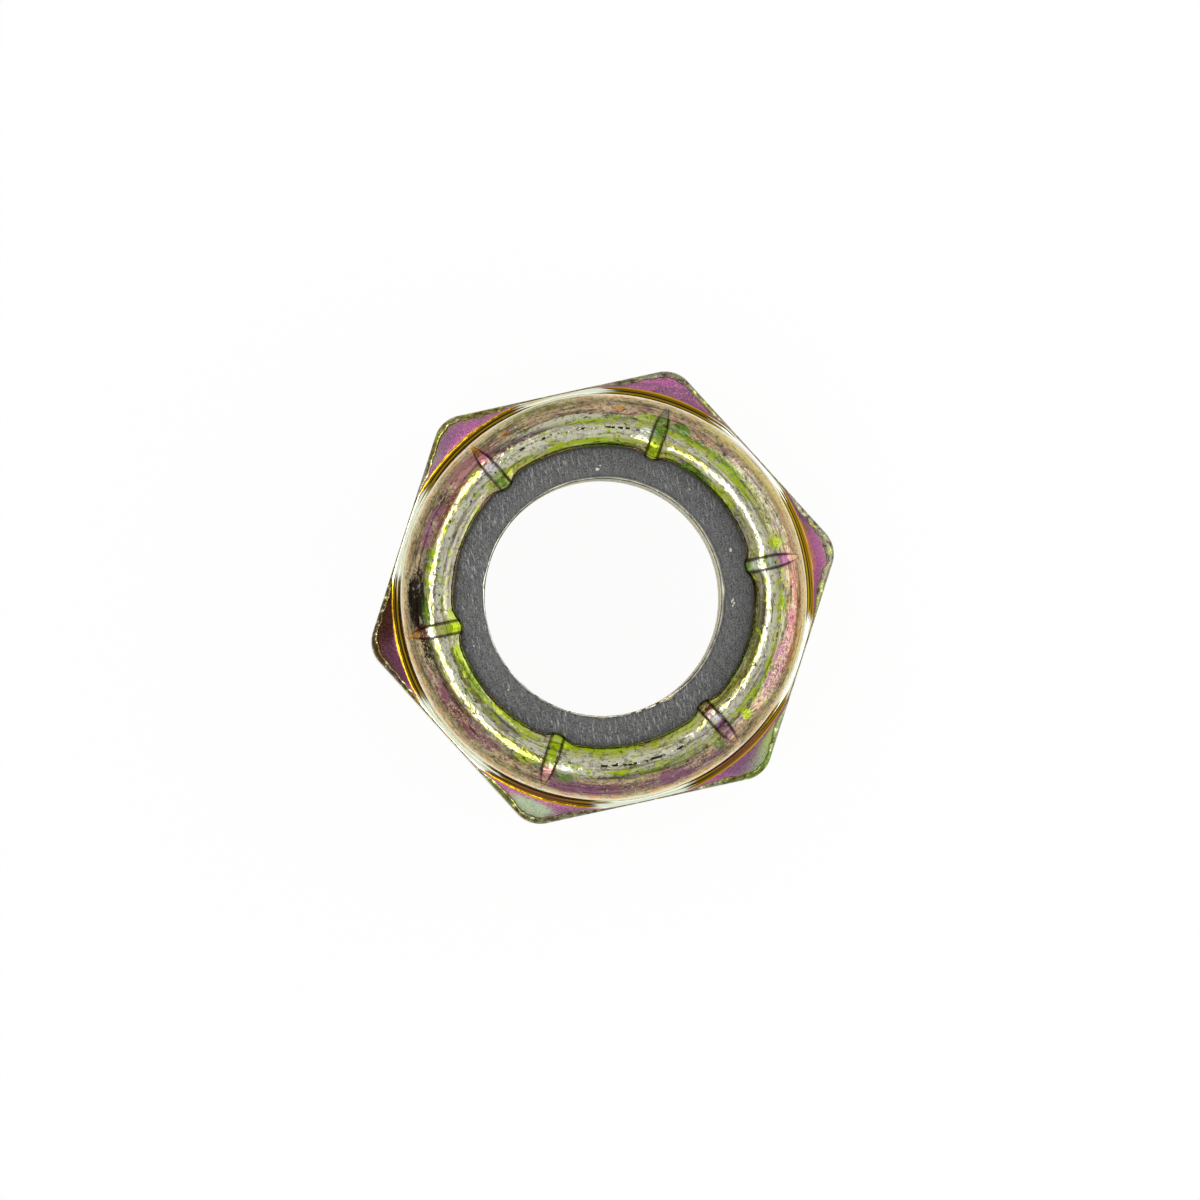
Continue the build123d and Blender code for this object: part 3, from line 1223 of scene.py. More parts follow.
@dataclass
class NutBody:
    """The steel nut: hexagon, staked collar rolled over the ring, pocket and thread."""

    turns: TurnPattern
    finish: PlatingFinish
    top: float = 15.08
    across_flats: float = 19.05
    corner_radius: float = 1.405
    hex_height: float = 9.9
    bearing_radius: float = 9.05
    bearing_angle: float = 30.0
    collar_radius: float = 9.25
    crown_radius: float = 1.57
    lip_radius: float = 6.84
    lip_drop: float = 0.55
    seat_height: float = 13.95
    pocket_radius: float = 8.075
    pocket_floor: float = 11.05
    pocket_bend: float = 0.4
    major_radius: float = 6.35
    minor_radius: float = 5.4
    countersink_radius: float = 6.6
    pitch: float = 25.4 / 13
    rim_radius: float = 0.24
    rim_path: float = 9.5
    worn_turn: float = 359.0
    worn_half_turn: float = 9.0
    neck_width: float = 0.38
    neck_height: float = 0.44
    bulge_reach: float = 0.29
    bulge_radius: float = 0.8
    bulge_blend: float = 1.2
    lip_shift: float = 0.03
    lip_shift_turn: float = 88.0
    dent: float = 0.02
    dent_end: float = 2.2

    # Stakes: first sizes in mm, then turns in degrees, those of the columns before they are drawn in
    stake_half_width: float = 0.3
    stake_straight_end: float = 7.8
    stake_tip: float = 9.15
    stake_depth: float = 0.36
    stake_play: float = 0.02
    stake_shifts: tuple[float, ...] = (-0.5, -0.9, -0.9, -0.8, -0.4, 0.1)
    shift_held: float = 8.0
    shift_fade: float = 20.0
    floor_held: float = 2.1
    floor_rise: float = 0.85
    crease_place: float = 2.7
    crease_reach: float = 0.6

    # Stains by turn, place along the section, reach in degrees, reach in mm and strength
    stains: tuple[Stain, ...] = (
        Stain(Tint.MAROON, 171.0, 7.4, 9.0, 1.2, 1.4),
        Stain(Tint.PLUM, 187.0, 7.3, 6.5, 1.0),
        Stain(Tint.SAGE, 238.5, 7.45, 6.5, 0.7, 1.1),
        Stain(Tint.VIOLET, 299.0, 7.3, 8.0, 0.9, 0.9),
        Stain(Tint.GRASS, 307.5, 7.7, 5.0, 0.7, 0.9),
        Stain(Tint.SAGE, 302.0, 7.9, 4.0, 0.4, 0.6),
        Stain(Tint.STONE, 128.0, 7.4, 3.0, 0.6, 0.7),
        Stain(Tint.ORCHID, 1.0, 7.3, 9.0, 0.6, 0.8),
        Stain(Tint.VIOLET, 121.0, 7.4, 9.0, 0.9, 0.6),
        Stain(Tint.OLIVE, 7.0, 7.2, 1.6, 0.25),
        Stain(Tint.RUST, 240.0, 6.12, 16.0, 0.16, 0.9),
        Stain(Tint.RUST, 300.0, 6.12, 16.0, 0.16, 0.9),
        Stain(Tint.SOOT, 168.5, 0.95, 8.0, 0.4, 1.6),
        Stain(Tint.SOOT, 186.5, 0.7, 4.6, 0.26, 1.4),
        Stain(Tint.PLUM, 103.0, 0.42, 10.0, 0.14),
        Stain(Tint.PLUM, 115.0, 0.52, 5.0, 0.24),
        Stain(Tint.MAUVE, 142.0, 0.85, 12.0, 0.35),
        Stain(Tint.ROSE, 128.0, 0.9, 7.0, 0.5),
        Stain(Tint.AMBER, 109.0, 1.1, 3.0, 0.14, 0.7),
        Stain(Tint.AMBER, 73.0, 1.0, 2.6, 0.14, 0.7),
        Stain(Tint.MAUVE, 217.0, 0.85, 7.0, 0.36, 0.9),
        Stain(Tint.MAUVE, 202.0, 0.85, 8.0, 0.4),
        Stain(Tint.MAUVE, 250.0, 1.25, 16.0, 0.45),
        Stain(Tint.MAUVE, 283.0, 1.2, 14.0, 0.4),
        Stain(Tint.PINK, 340.0, 1.1, 8.0, 0.4, 0.75),
        Stain(Tint.PINK, 353.0, 1.2, 5.0, 0.35, 0.7),
        Stain(Tint.MAUVE, 325.0, 0.9, 10.0, 0.4),
        Stain(Tint.MAUVE, 30.0, 0.95, 9.0, 0.22),
        Stain(Tint.LEAF, 30.0, 0.62, 12.0, 0.13),
        Stain(Tint.LIME, 32.0, 0.23, 14.0, 0.08),
        Stain(Tint.LEAF, 42.0, -0.56, 8.0, 0.18),
        Stain(Tint.LEAF, 53.0, 0.75, 3.2, 0.28),
        Stain(Tint.LIME, 64.5, 0.75, 2.6, 0.26),
        Stain(Tint.LIME, 82.0, 0.36, 9.0, 0.1),
        Stain(Tint.ASH, 90.0, 0.62, 20.0, 0.16, 0.8),
        Stain(Tint.LEAF, 76.0, -0.66, 11.0, 0.24),
        Stain(Tint.REED, 96.0, -0.76, 8.0, 0.18),
        Stain(Tint.LIME, 124.5, 0.42, 2.4, 0.16),
        Stain(Tint.LEAF, 173.0, 0.42, 4.0, 0.14),
        Stain(Tint.LIME, 193.0, -0.66, 8.0, 0.28),
        Stain(Tint.LIME, 222.0, -0.86, 8.0, 0.16),
        Stain(Tint.LIME, 231.0, 0.5, 3.4, 0.3),
        Stain(Tint.LEAF, 245.0, 0.65, 3.0, 0.3),
        Stain(Tint.LIME, 258.0, -0.71, 16.0, 0.28),
        Stain(Tint.LEAF, 283.0, 0.45, 6.0, 0.16),
        Stain(Tint.ASH, 252.0, 0.45, 12.0, 0.16, 0.8),
        Stain(Tint.LIME, 290.0, -0.76, 9.0, 0.2),
        Stain(Tint.LIME, 308.5, 0.7, 1.6, 0.35),
        Stain(Tint.LEAF, 296.0, 0.7, 1.6, 0.4),
        Stain(Tint.LIME, 314.0, 0.3, 5.0, 0.1),
        Stain(Tint.OLIVE, 330.0, -0.81, 14.0, 0.25),
        Stain(Tint.LEAF, 322.0, -0.81, 8.0, 0.16),
        Stain(Tint.OLIVE, 350.0, -0.56, 7.0, 0.12),
        Stain(Tint.LIME, 5.5, 0.62, 1.8, 0.26),
        Stain(Tint.MAIZE, 348.0, 1.85, 30.0, 0.3, 1.0),
        Stain(Tint.REED, 100.0, 1.95, 28.0, 0.24, 0.6),
        Stain(Tint.MAIZE, 28.0, 1.7, 22.0, 0.34, 1.1),
        Stain(Tint.AMBER, 346.0, 1.38, 17.0, 0.2, 0.8),
        Stain(Tint.PEACH, 0.0, 1.5, 16.0, 0.24, 0.8),
        Stain(Tint.MAROON, 136.0, 0.9, 3.0, 0.3, 0.8),
        Stain(Tint.OLIVE, 95.0, 1.6, 14.0, 0.3, 0.7),
        Stain(Tint.ROSE, 121.0, 0.95, 5.0, 0.4, 0.8),
        Stain(Tint.STONE, 140.0, -0.35, 14.0, 0.2, 0.9),
        Stain(Tint.FAWN, 126.0, -0.7, 6.0, 0.2, 0.8),
        Stain(Tint.TAN, 160.0, -0.8, 9.0, 0.14, 0.8),
        Stain(Tint.UMBER, 352.0, -0.75, 7.0, 0.2, 0.8),
        Stain(Tint.LAVENDER, 30.0, 6.1, 12.0, 0.4, 0.9),
        Stain(Tint.LIME, 84.0, -0.45, 17.0, 0.12, 0.9),
        Stain(Tint.REED, 110.0, -0.55, 8.0, 0.2, 0.8),
        Stain(Tint.LEAF, 201.0, -0.42, 13.0, 0.2, 0.9),
        Stain(Tint.OLIVE, 312.0, -0.42, 12.0, 0.2, 0.9),
        Stain(Tint.MOSS, 332.0, -0.6, 12.0, 0.2, 0.9),
        Stain(Tint.REED, 281.0, -0.8, 18.0, 0.12, 0.8),
        Stain(Tint.STONE, 13.0, -0.55, 9.0, 0.3, 0.9),
        Stain(Tint.MOSS, 30.0, -0.75, 10.0, 0.14, 0.8),
        Stain(Tint.FAWN, 65.0, -0.8, 5.0, 0.2, 0.8),
        Stain(Tint.STONE, 219.0, -0.2, 9.0, 0.2, 0.8),
        Stain(Tint.STONE, 0.0, 8.45, 16.0, 0.4, 0.9),
        Stain(Tint.STONE, 58.0, 8.45, 8.0, 0.4, 0.8),
        Stain(Tint.OLIVE, 118.0, 8.45, 16.0, 0.4, 0.9),
        Stain(Tint.UMBER, 180.0, 8.45, 16.0, 0.4, 0.8),
        Stain(Tint.MOSS, 240.0, 8.45, 14.0, 0.4, 0.8),
        Stain(Tint.LEAF, 302.0, 8.45, 14.0, 0.4, 0.7),
        Stain(Tint.HUSK, 195.0, 0.36, 14.0, 0.16, 0.9),
        Stain(Tint.STONE, 160.0, -0.5, 16.0, 0.28, 0.8),
        Stain(Tint.OLIVE, 200.0, -0.28, 14.0, 0.14, 0.8),
        Stain(Tint.HUSK, 138.0, 0.2, 15.0, 0.2, 0.8),
        Stain(Tint.REED, 228.0, 0.2, 14.0, 0.18, 0.8),
        Stain(Tint.RUST, 206.0, 0.95, 9.0, 0.32, 0.6),
        Stain(Tint.GRASS, 290.0, -0.9, 15.0, 0.14, 1.0),
        Stain(Tint.HUSK, 290.0, 0.5, 11.0, 0.13, 0.8),
        Stain(Tint.OLIVE, 318.0, -0.35, 14.0, 0.16, 0.9),
        Stain(Tint.REED, 48.0, -0.12, 14.0, 0.13, 0.8),
        Stain(Tint.STONE, 350.0, -0.38, 9.0, 0.14, 0.8),
        Stain(Tint.OLIVE, 18.0, 0.55, 12.0, 0.1, 0.7),
        Stain(Tint.STONE, 20.0, 0.95, 14.0, 0.26, 1.0),
        Stain(Tint.RUST, 138.0, 0.5, 12.0, 0.15, 0.8),
        Stain(Tint.UMBER, 203.0, 0.52, 10.0, 0.13, 0.7),
        Stain(Tint.REED, 84.0, -0.95, 14.0, 0.1, 0.8),
        Stain(Tint.STONE, 50.0, -0.95, 14.0, 0.1, 0.8),
        Stain(Tint.HUSK, 3.0, -0.4, 14.0, 0.12, 0.8),
        Stain(Tint.GOLD, 13.0, 6.5, 3.0, 0.18),
        Stain(Tint.AMBER, 2.0, 6.6, 10.0, 0.14, 0.9),
        Stain(Tint.UMBER, 341.0, 0.03, 14.0, 0.035),
        Stain(Tint.UMBER, 343.0, -0.29, 13.0, 0.04),
        Stain(Tint.UMBER, 336.0, 0.5, 9.0, 0.03),
    )
    # Painted highlights: pale and lavender spots on the stakes' floors, and one beside a stake
    painted_highlights: tuple[Stain, ...] = (
        Stain(Tint.PALE, -0.5, -0.3, 1.9, 0.16, 1.3),
        Stain(Tint.LAVENDER, 119.1, 0.15, 1.9, 0.14, 1.3),
        Stain(Tint.PALE, 179.4, 0.28, 2.2, 0.16, 1.3),
        Stain(Tint.PALE, 244.5, 0.32, 3.0, 0.14, 1.1),
        Stain(Tint.LAVENDER, 300.2, -0.1, 1.6, 0.12, 1.3),
        Stain(Tint.PALE, 63.5, 0.1, 2.2, 0.12, 1.1),
    )

    # Colours of the stakes' floors, the silver on the third stake a painted highlight, and the place, reach
    # in degrees and reach in mm of each
    stake_tints: tuple[tuple[Tint, ...], ...] = (
        (Tint.LEAF, Tint.LEAF, Tint.SAGE, Tint.ORCHID, Tint.PEACH),
        (Tint.ROSE, Tint.LIME, Tint.LEAF, Tint.LEAF, Tint.STONE),
        (Tint.LEAF, Tint.LEAF, Tint.SILVER, Tint.PINK, Tint.AMBER),
        (Tint.LIME, Tint.LIME, Tint.REED, Tint.WINE, Tint.AMBER),
        (Tint.LEAF, Tint.LIME, Tint.LIME, Tint.ROSE, Tint.PEACH),
        (Tint.LEAF, Tint.WINE, Tint.PLUM, Tint.MAUVE, Tint.PEACH),
    )
    stake_places: tuple[Triple, ...] = (
        (-0.95, 2.1, 0.16),
        (-0.45, 2.1, 0.34),
        (0.15, 2.1, 0.26),
        (0.7, 2.1, 0.3),
        (1.4, 1.2, 0.4),
    )

    @property
    def crest_radius(self) -> float:
        """Distance from the axis to the top of the crown."""
        return self.collar_radius - self.crown_radius

    def stake_stains(self) -> list[Stain]:
        """Colour the stakes' floors, from the lip to the tip of each.

        Returns:
            Their stains.
        """
        stains = []
        for number, floor in enumerate(self.stake_tints):
            turn = number * 360.0 / self.turns.corner_count + self.stake_shifts[number]
            for tint, (along, half_turn, half_width) in zip(floor, self.stake_places):
                stains.append(Stain(tint, turn, along, half_turn, half_width))
        return stains

    def hexagon(self, offset: Array) -> Array:
        """Distance from the axis to the side of the hexagon.

        Args:
            offset: turns from the nearest corner, in degrees.

        Returns:
            Distances in mm, along the flats and round the corners.
        """
        half_flats = self.across_flats / 2
        half_sector = math.pi / self.turns.corner_count
        turn = np.radians(np.abs(offset))
        corner = (half_flats - self.corner_radius) / math.cos(half_sector)
        tangent_x = corner + self.corner_radius * math.cos(half_sector)
        tangent = math.atan2(self.corner_radius * math.sin(half_sector), tangent_x)
        under_root = self.corner_radius**2 - (corner * np.sin(turn)) ** 2
        rounded = corner * np.cos(turn) + np.sqrt(under_root.clip(0.0, None))
        flat = half_flats / np.cos(half_sector - turn)
        return np.where(turn < tangent, rounded, flat)

    def bulge(self, offset: Array) -> Array:
        """How far the lip is pushed in beside a stake: a nose, and flanks that ease into the mouth.

        Args:
            offset: turns from the stake's centre line, in degrees.

        Returns:
            Distances in mm.
        """
        aside = np.abs(np.radians(offset)) * self.lip_radius
        both = self.bulge_radius + self.bulge_blend
        foot = math.sqrt(both**2 - (both - self.bulge_reach) ** 2)
        meet = foot * self.bulge_radius / both
        arc = np.sqrt((self.bulge_radius**2 - aside**2).clip(0.0, None))
        nose = self.bulge_reach - self.bulge_radius + arc
        flank = self.bulge_blend - np.sqrt((self.bulge_blend**2 - (foot - aside) ** 2).clip(0.0, None))
        return np.where(aside < meet, nose, np.where(aside < foot, flank, 0.0))

    def stake_floor(self, radius: Array, height: float) -> Array:
        """Height of a stake's floor under a ring of the crown or lip.

        Args:
            radius: distances from the axis, in mm.
            height: height of the plain crown or lip there, in mm.

        Returns:
            Heights of the floor, level with the crown at the tip.
        """
        run = ((self.stake_tip - radius) / (self.stake_tip - self.crest_radius)).clip(0.0, 1.0)
        depth = self.stake_depth * (1.0 - (1.0 - run) ** 2)
        edge = self.top - self.lip_drop
        left = (edge - self.stake_depth - self.seat_height) / (edge - self.seat_height)
        wall = self.seat_height + (height - self.seat_height) * left
        on_lip = (height < edge - 0.001) & (radius < self.crest_radius)
        return np.where(on_lip, wall, height - depth)

    def stake_half_angle(self, radius: float) -> float:
        """Half of a stake's width at a radius: straight, then drawn to a point.

        Args:
            radius: distance from the axis, in mm.

        Returns:
            The angle in degrees.
        """
        reach = self.stake_tip - self.stake_straight_end
        size = (reach**2 + self.stake_half_width**2) / (2 * self.stake_half_width)
        past = min(max(radius - self.stake_straight_end, 0.0), reach)
        width = self.stake_half_width - size + math.sqrt(size**2 - past**2)
        return math.degrees((max(width, 0.0) + self.stake_play) / radius)

    def rim(self, turn: Array) -> Array:
        """Radius of the worn edge round the shoulder, ragged, and fuller at one corner.

        Args:
            turn: turns of the points, in degrees.

        Returns:
            Radii in mm.
        """
        where = round_axis(turn, self.rim_path)
        ragged = 1.0 + 0.4 * ripple(where, 0.55, 4.0) + 0.35 * ripple(where, 0.2, 9.0)
        aside = turn_apart(turn, self.worn_turn) / self.worn_half_turn
        return self.rim_radius * ragged * (1.0 + 0.5 * np.exp(-(aside**2)))

    def mouth(self, turn: Array) -> Array:
        """Radius of the lip's mouth, a little uneven and off centre, with a bulge at each stake.

        Args:
            turn: turns of the points, in degrees.

        Returns:
            Distances from the axis, in mm.
        """
        where = round_axis(turn, self.lip_radius)
        uneven = 0.03 * ripple(where, 1.6, 2.0) + 0.015 * ripple(where, 0.5, 7.0)
        shift = self.lip_shift * (np.cos(np.radians(turn - self.lip_shift_turn)) - 1.0)
        return self.lip_radius + uneven + shift - self.bulge(self.turns.offset)

    def outside(self) -> list[Ring]:
        """Rings from the countersink's rim out, up the sides and in to the neck.

        Returns:
            The rings, in order along the section.
        """
        turn = self.turns.turn
        side = self.hexagon(self.turns.offset)
        slope = math.tan(math.radians(self.bearing_angle))
        chamfer = side - self.bearing_radius
        foot = chamfer * slope
        width = side - self.collar_radius
        neck = np.minimum(self.neck_width, 0.8 * width)
        rim = np.minimum(self.rim(turn), 0.7 * (width - neck))
        rows = [(radius, 0.0, AXIS - radius) for radius in (6.66, 7.0, 7.8, 8.5, 8.95)]
        for share, lift in ((0.0, 0.004), (0.06, 0.012), (0.2, 0.0), (0.6, 0.0), (0.92, 0.0)):
            rows.append((self.bearing_radius + share * chamfer, share * foot + lift, BEARING_EDGE - share))
        rows.append((side - 0.006, foot + 0.01, 17.4))
        low = foot + 0.05
        high = self.hex_height - rim
        for share in (0.0, 0.04, 0.15, 0.3, 0.45, 0.6, 0.75, 0.88, 0.96, 1.0):
            rows.append((side, low + share * (high - low), FLATS_FOOT - (FLATS_FOOT - FLATS_TOP) * share))
        outer = side - rim
        for angle in (18, 36, 54, 72, 90):
            lean = math.radians(angle)
            radius = outer + rim * math.cos(lean)
            rows.append((radius, high + rim * math.sin(lean), FLATS_TOP - 0.4 * angle / 90))
        inner = self.collar_radius + neck
        for share in (0.08, 0.35, 0.65, 0.92):
            rows.append((outer + share * (inner - outer), self.hex_height, RIM - (RIM - SHOULDER) * share))
        for angle in (0, 12, 24, 36, 48, 60, 72, 82, 90):
            lean = math.radians(angle)
            height = self.hex_height + self.neck_height * (1 - math.cos(lean))
            place = NECK_FOOT - (NECK_FOOT - NECK_TOP) * math.sin(lean)
            rows.append((inner - neck * math.sin(lean), height, place))
        low = self.hex_height + self.neck_height
        high = self.top - self.crown_radius
        for share in (0.15, 0.4, 0.65, 0.85):
            rows.append((self.collar_radius, low + share * (high - low), NECK_TOP - 3.0 * share))
        return [Ring.even(turn, *row) for row in rows]

    def crown(self) -> list[Ring]:
        """Rings over the crown, across the stakes and down the inside of the lip.

        Returns:
            The rings, in order along the section.
        """
        mouth = self.mouth(self.turns.turn)
        rings = []
        for lean in np.radians(np.linspace(0, 90, 27)):
            radius = np.full(len(mouth), self.crest_radius + self.crown_radius * math.cos(lean))
            height = self.top - self.crown_radius * (1 - math.sin(lean))
            rings.append(self._top_ring(radius, height, self.crown_radius * (math.pi / 2 - lean)))
        for share in np.linspace(0, 1, 17)[1:]:
            lean = share * math.pi / 2
            radius = self.crest_radius - (self.crest_radius - mouth) * math.sin(lean)
            height = self.top - self.lip_drop * (1 - math.cos(lean))
            rings.append(self._top_ring(radius, height, LIP_EDGE * share))
        for height, along in ((14.35, -1.12), (14.15, -1.25), (14.02, -1.35), (self.seat_height, -1.5)):
            rings.append(self._top_ring(mouth, height, along))
        return rings

    def _top_ring(self, radius: Array, height: float, along: float) -> Ring:
        """Make a ring on the crown or lip, sunk to the floor of each stake.

        Args:
            radius: distances from the axis, in mm.
            height: height away from the stakes, in mm.
            along: place along the section.

        Returns:
            The ring, with painted shade in the creases of the stakes' walls.
        """
        size = np.abs(self.turns.offset)
        shift = np.repeat(self.stake_shifts, len(size) // self.turns.corner_count)
        shift = shift * (1.0 - smooth((size - self.shift_held) / self.shift_fade))
        pinched = self.turns.pinched(self.stake_half_angle(float(np.median(radius))))
        turn = self.turns.centre + pinched + shift
        floor = self.stake_floor(radius, height)
        sunk = height + (1.0 - smooth((size - self.floor_held) / self.floor_rise)) * (floor - height)
        if along < self.dent_end:
            where = round_axis(turn, radius, sunk)
            uneven = 0.5 + 0.35 * ripple(where, 2.2, 1.0) + 0.35 * ripple(where, 0.55, 3.0)
            sunk = sunk - self.dent * uneven.clip(0.0, 1.2)
        # Painted shade on the stakes' walls, stronger where the stake is deeper
        wall = np.exp(-(((size - self.crease_place) / self.crease_reach) ** 2))
        deep = smooth((height - floor - 0.08) / 0.24)
        return Ring(radius, sunk, turn, np.full(len(turn), along), (1.15 * wall * deep).clip(0.0, 1.0))

    def pocket(self) -> list[Ring]:
        """Rings of the pocket that holds the nylon, from the lip's underside to the thread.

        Returns:
            The rings, in order along the section.
        """
        rows = (
            (7.3, self.seat_height),
            (self.pocket_radius - self.pocket_bend, self.seat_height),
            (self.pocket_radius, self.seat_height - self.pocket_bend),
            (self.pocket_radius, self.pocket_floor),
            (7.0, self.pocket_floor),
        )
        return [Ring.even(self.turns.turn, radius, height, POCKET) for radius, height in rows]

    def thread_radius(self, turn: Array, height: object) -> Array:
        """Distance from the axis to the thread's surface.

        Args:
            turn: turns of the points, in degrees.
            height: heights of the points in mm, one for all or one each.

        Returns:
            Distances in mm, with the countersink at the bottom.
        """
        phase = (height / self.pitch - turn / 360.0) % 1.0
        away = np.abs(phase - 0.5) * self.pitch
        root_half = self.pitch / 16
        run = (away - root_half).clip(0.0, None) * math.tan(math.radians(60))
        wall = np.maximum(self.major_radius - run, self.minor_radius)
        return np.maximum(wall, self.countersink_radius - height)

    def thread(self) -> tuple[list[Ring], int]:
        """Rings of the thread, sloping along its helix.

        Returns:
            The rings from the bottom up, and the number of rings in one turn.
        """
        turn = self.turns.turn
        flank = (0.0, 0.08, 0.15, 0.165, 0.2, 0.28, 0.36, 0.43, 0.445)
        shares = (*flank, 0.5, 0.555, 0.57, 0.64, 0.72, 0.8, 0.835, 0.85, 0.92)
        turns_up = math.ceil(self.pocket_floor / self.pitch) + 1
        rings = []
        for step in range(-1, turns_up):
            for share in shares:
                height = (self.pitch * (step + share + turn / 360.0)).clip(0.0, self.pocket_floor)
                along = THREAD + 1.0 - height / self.pocket_floor
                rings.append(Ring.even(turn, self.thread_radius(turn, height), height, along))
        return rings, len(shares)

    def build(self) -> bpy.types.Object:
        """Build and dress the nut.

        Returns:
            The object that stands for the steel node.
        """
        turn = self.turns.turn
        first = Ring.even(turn, self.thread_radius(turn, 0.0), 0.0, COUNTERSINK)
        last = Ring.even(turn, self.thread_radius(turn, self.pocket_floor), self.pocket_floor, POCKET)
        mesh = RingMesh("staked_nut")
        mesh.add_rings([first, *self.outside(), *self.crown(), *self.pocket(), last])
        rings, per_turn = self.thread()
        mesh.add_rings(rings, seam_shift=per_turn)
        obj = mesh.build(self.finish.make(), [*self.stains, *self.stake_stains(), *self.painted_highlights])
        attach(obj, "root")
        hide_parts("nut_body")
        return obj


@dataclass
class NylonRing:
    """The nylon ring in the nut's pocket, plain-bored and a little ragged at its inner edge."""

    turns: TurnPattern
    finish: NylonFinish
    bore: float = 5.48
    outer: float = 8.055
    bottom: float = 11.05
    top: float = 13.95
    edge: float = 0.15
    bend: float = 0.4
    nicks: tuple[Triple, ...] = (
        (291.0, 0.09, 2.2),
        (266.0, -0.06, 3.0),
        (161.0, 0.05, 4.0),
        (258.0, 0.05, 2.0),
        (351.0, 0.05, 2.5),
    )

    def ragged_bore(self, turn: Array) -> Array:
        """Radius of the hole, uneven and nicked.

        Args:
            turn: turns of the points, in degrees.

        Returns:
            Distances from the axis, in mm.
        """
        where = round_axis(turn, self.bore)
        ragged = 0.02 * ripple(where, 1.3, 5.0) + 0.012 * ripple(where, 0.4, 8.0)
        for place, depth, half in self.nicks:
            ragged = ragged + depth * np.exp(-((turn_apart(turn, place) / half) ** 2))
        return self.bore + ragged.clip(-0.02, None)

    def build(self) -> bpy.types.Object:
        """Build and dress the ring.

        Returns:
            The object that stands for the nylon node.
        """
        turn = self.turns.turn
        bore = self.ragged_bore(turn)
        rows = [
            (bore + self.edge, self.bottom, 11.0, 0.0),
            (bore, self.bottom + self.edge, 10.8, 0.0),
            (bore, 0.5 * (self.bottom + self.top), 9.5, 0.0),
            (bore, self.top - self.edge, 8.3, 0.0),
        ]
        for angle in (30, 60, 90):
            slant = math.radians(angle)
            radius = bore + self.edge * (1 - math.cos(slant))
            height = self.top - self.edge * (1 - math.sin(slant))
            rows.append((radius, height, 8.2 - angle / 300, 0.0))
        for radius in (5.75, 5.9, 6.1, 6.3, 6.5):
            rows.append((radius, self.top, radius, 0.0))
        # The last value of each row is painted shadow, dark from where the nylon goes under the lip out to
        # its outer edge
        rows.append((6.7, self.top, 6.7, 0.1))
        rows.append((6.85, self.top, 6.85, 0.9))
        rows.append((self.outer - self.bend, self.top, 7.7, 1.0))
        rows.append((self.outer, self.top - self.bend, 8.2, 1.0))
        rows.append((self.outer, self.bottom, 12.0, 1.0))
        mesh = RingMesh("nylon_ring")
        mesh.add_rings([Ring.even(turn, *row) for row in rows], closed=True)
        obj = mesh.build(self.finish.make())
        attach(obj, "root")
        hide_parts("nylon_insert")
        return obj


@dataclass
class SoftBox:
    """A rectangular studio lamp that faces the nut."""

    name: str
    zenith: float
    azimuth: float
    distance: float
    width: float
    length: float
    radiance: float

    def build(self, target: Vector) -> bpy.types.Object:
        """Hang the lamp.

        Args:
            target: the point it faces, in metres.

        Returns:
            The lamp.
        """
        lamp = bpy.data.lights.new(self.name, "AREA")
        lamp.shape = "RECTANGLE"
        lamp.size = self.width
        lamp.size_y = self.length
        lamp.energy = self.radiance * math.pi * self.width * self.length
        obj = stand(self.name, lamp)
        away = direction(self.zenith, self.azimuth)
        side = direction(90.0, self.azimuth + 90.0)
        aim(obj, target, self.distance, side.cross(away), away)
        obj.visible_camera = False
        return obj


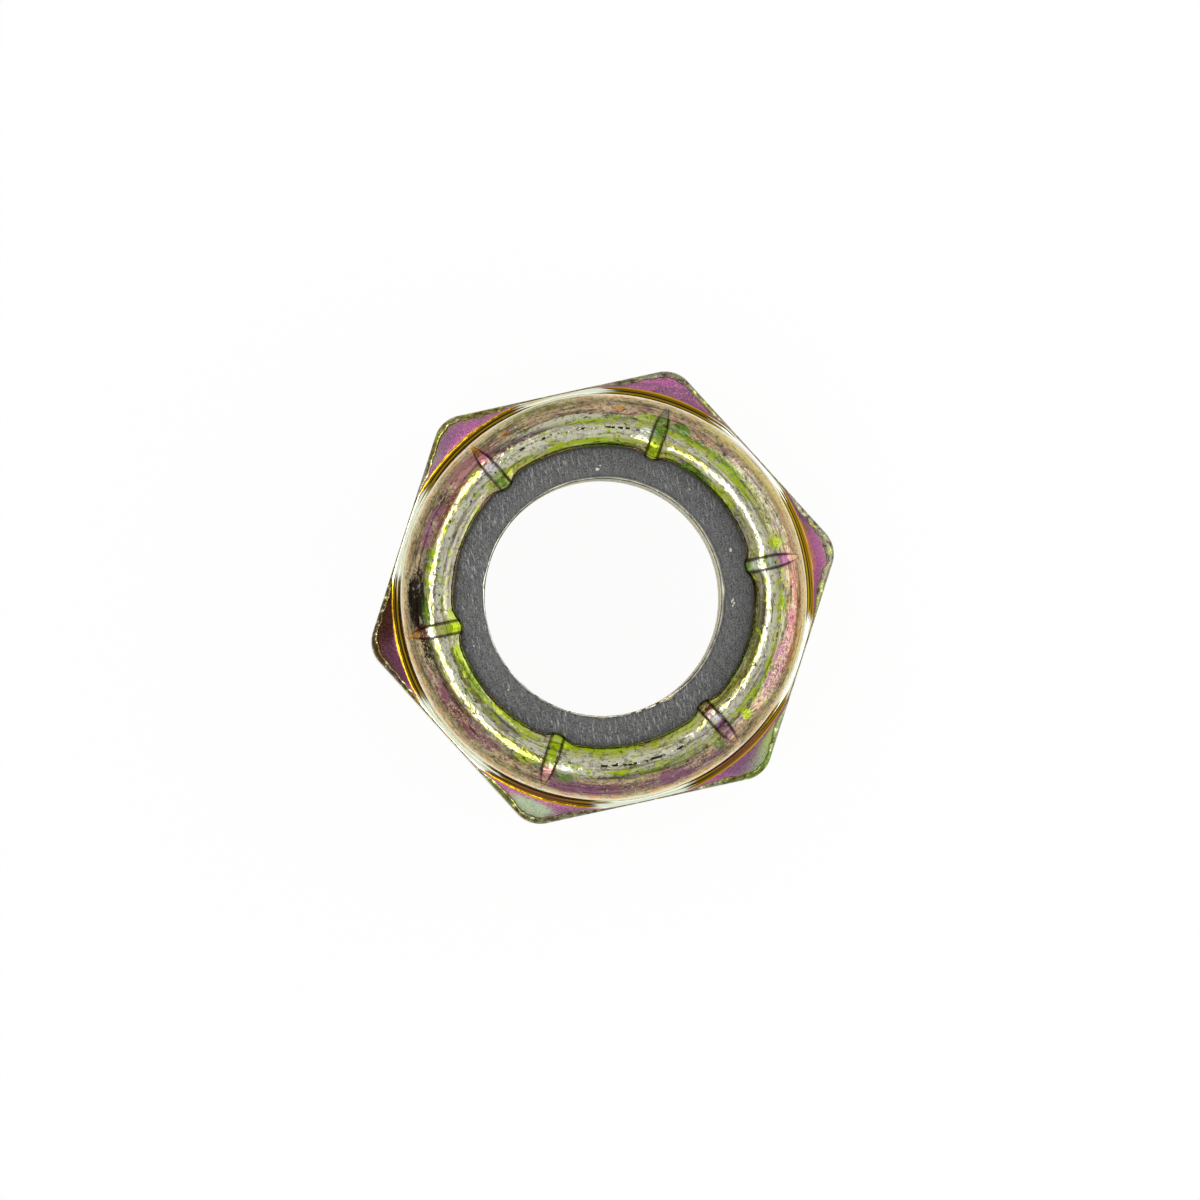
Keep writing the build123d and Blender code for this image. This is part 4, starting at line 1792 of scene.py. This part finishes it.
@dataclass
class Studio:
    """Floor, lamps, surroundings and the camera above the nut."""

    picture: int = 1200
    scale: float = 0.04566
    corner_turn: float = 12.3
    centre: tuple[float, float] = (602.8, 597.6)
    shoulder: float = 9.9
    distance: float = 1.1
    lean: float = 0.8
    lean_turn: float = 212.0
    floor_reach: float = 4.0
    surroundings: float = 0.78

    def view_turn(self, picture_turn: float) -> float:
        """Turn in the part's frame of a direction in the picture, in degrees."""
        return picture_turn - self.corner_turn

    def camera(self) -> bpy.types.Object:
        """Place the camera at the photograph's viewing angle.

        Returns:
            The scene's camera.
        """
        away = direction(self.lean, self.view_turn(self.lean_turn))
        up = away.cross(direction(90.0, self.view_turn(0.0))).normalized()
        right = up.cross(away).normalized()
        step = self.scale * MM
        half = self.picture / 2
        target = Vector((0, 0, self.shoulder * MM)) - right * (self.centre[0] - half) * step
        target = target - up * (half - self.centre[1]) * step
        lens = bpy.data.cameras.new("camera")
        lens.sensor_fit = "HORIZONTAL"
        lens.angle = 2 * math.atan(half * step / self.distance)
        lens.clip_start = 0.01
        lens.clip_end = 10.0
        obj = stand("camera", lens)
        aim(obj, target, self.distance, right, away)
        bpy.context.scene.camera = obj
        return obj

    def floor(self) -> bpy.types.Object:
        """Lay the floor that the nut stands on.

        Returns:
            The floor.
        """
        reach = self.floor_reach
        corners = [(-reach, -reach, 0), (reach, -reach, 0), (reach, reach, 0), (-reach, reach, 0)]
        mesh = bpy.data.meshes.new("studio_floor")
        mesh.from_pydata(corners, [], [(0, 1, 2, 3)])
        mesh.materials.append(FloorFinish().make())
        obj = stand("studio_floor", mesh)
        return obj

    def world(self) -> None:
        """Surround the nut with an even pale light."""
        world = bpy.data.worlds.new("surroundings")
        world.use_nodes = True
        bpy.context.scene.world = world
        back = world.node_tree.nodes["Background"]
        back.inputs["Color"].default_value = (1.0, 1.0, 1.0, 1.0)
        back.inputs["Strength"].default_value = self.surroundings

    def lamps(self) -> None:
        """Hang the soft boxes."""
        key_turn = self.view_turn(190.0)
        fill_turn = self.view_turn(5.0)
        key = SoftBox("key_box", 14.5, key_turn, distance=0.6, width=0.1, length=0.5, radiance=4.5)
        fill = SoftBox("fill_box", 62.0, fill_turn, distance=0.8, width=0.9, length=1.3, radiance=0.85)
        for box in (key, fill):
            box.build(Vector((0, 0, self.shoulder * MM)))

    def build(self) -> None:
        """Set up everything round the nut."""
        self.camera()
        self.floor()
        self.world()
        self.lamps()
        bpy.context.scene.view_settings.view_transform = "Standard"


def main() -> None:
    """Build the pieces in order."""
    logging.basicConfig(level=logging.INFO, format="%(message)s")
    log = logging.getLogger("lock_nut")
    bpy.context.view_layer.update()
    turns = TurnPattern()
    for part in (NutBody(turns, PlatingFinish()), NylonRing(turns, NylonFinish())):
        obj = part.build()
        log.info("%s: %d faces", obj.name, len(obj.data.polygons))
    Studio().build()
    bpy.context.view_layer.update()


if __name__ == "__main__":
    main()
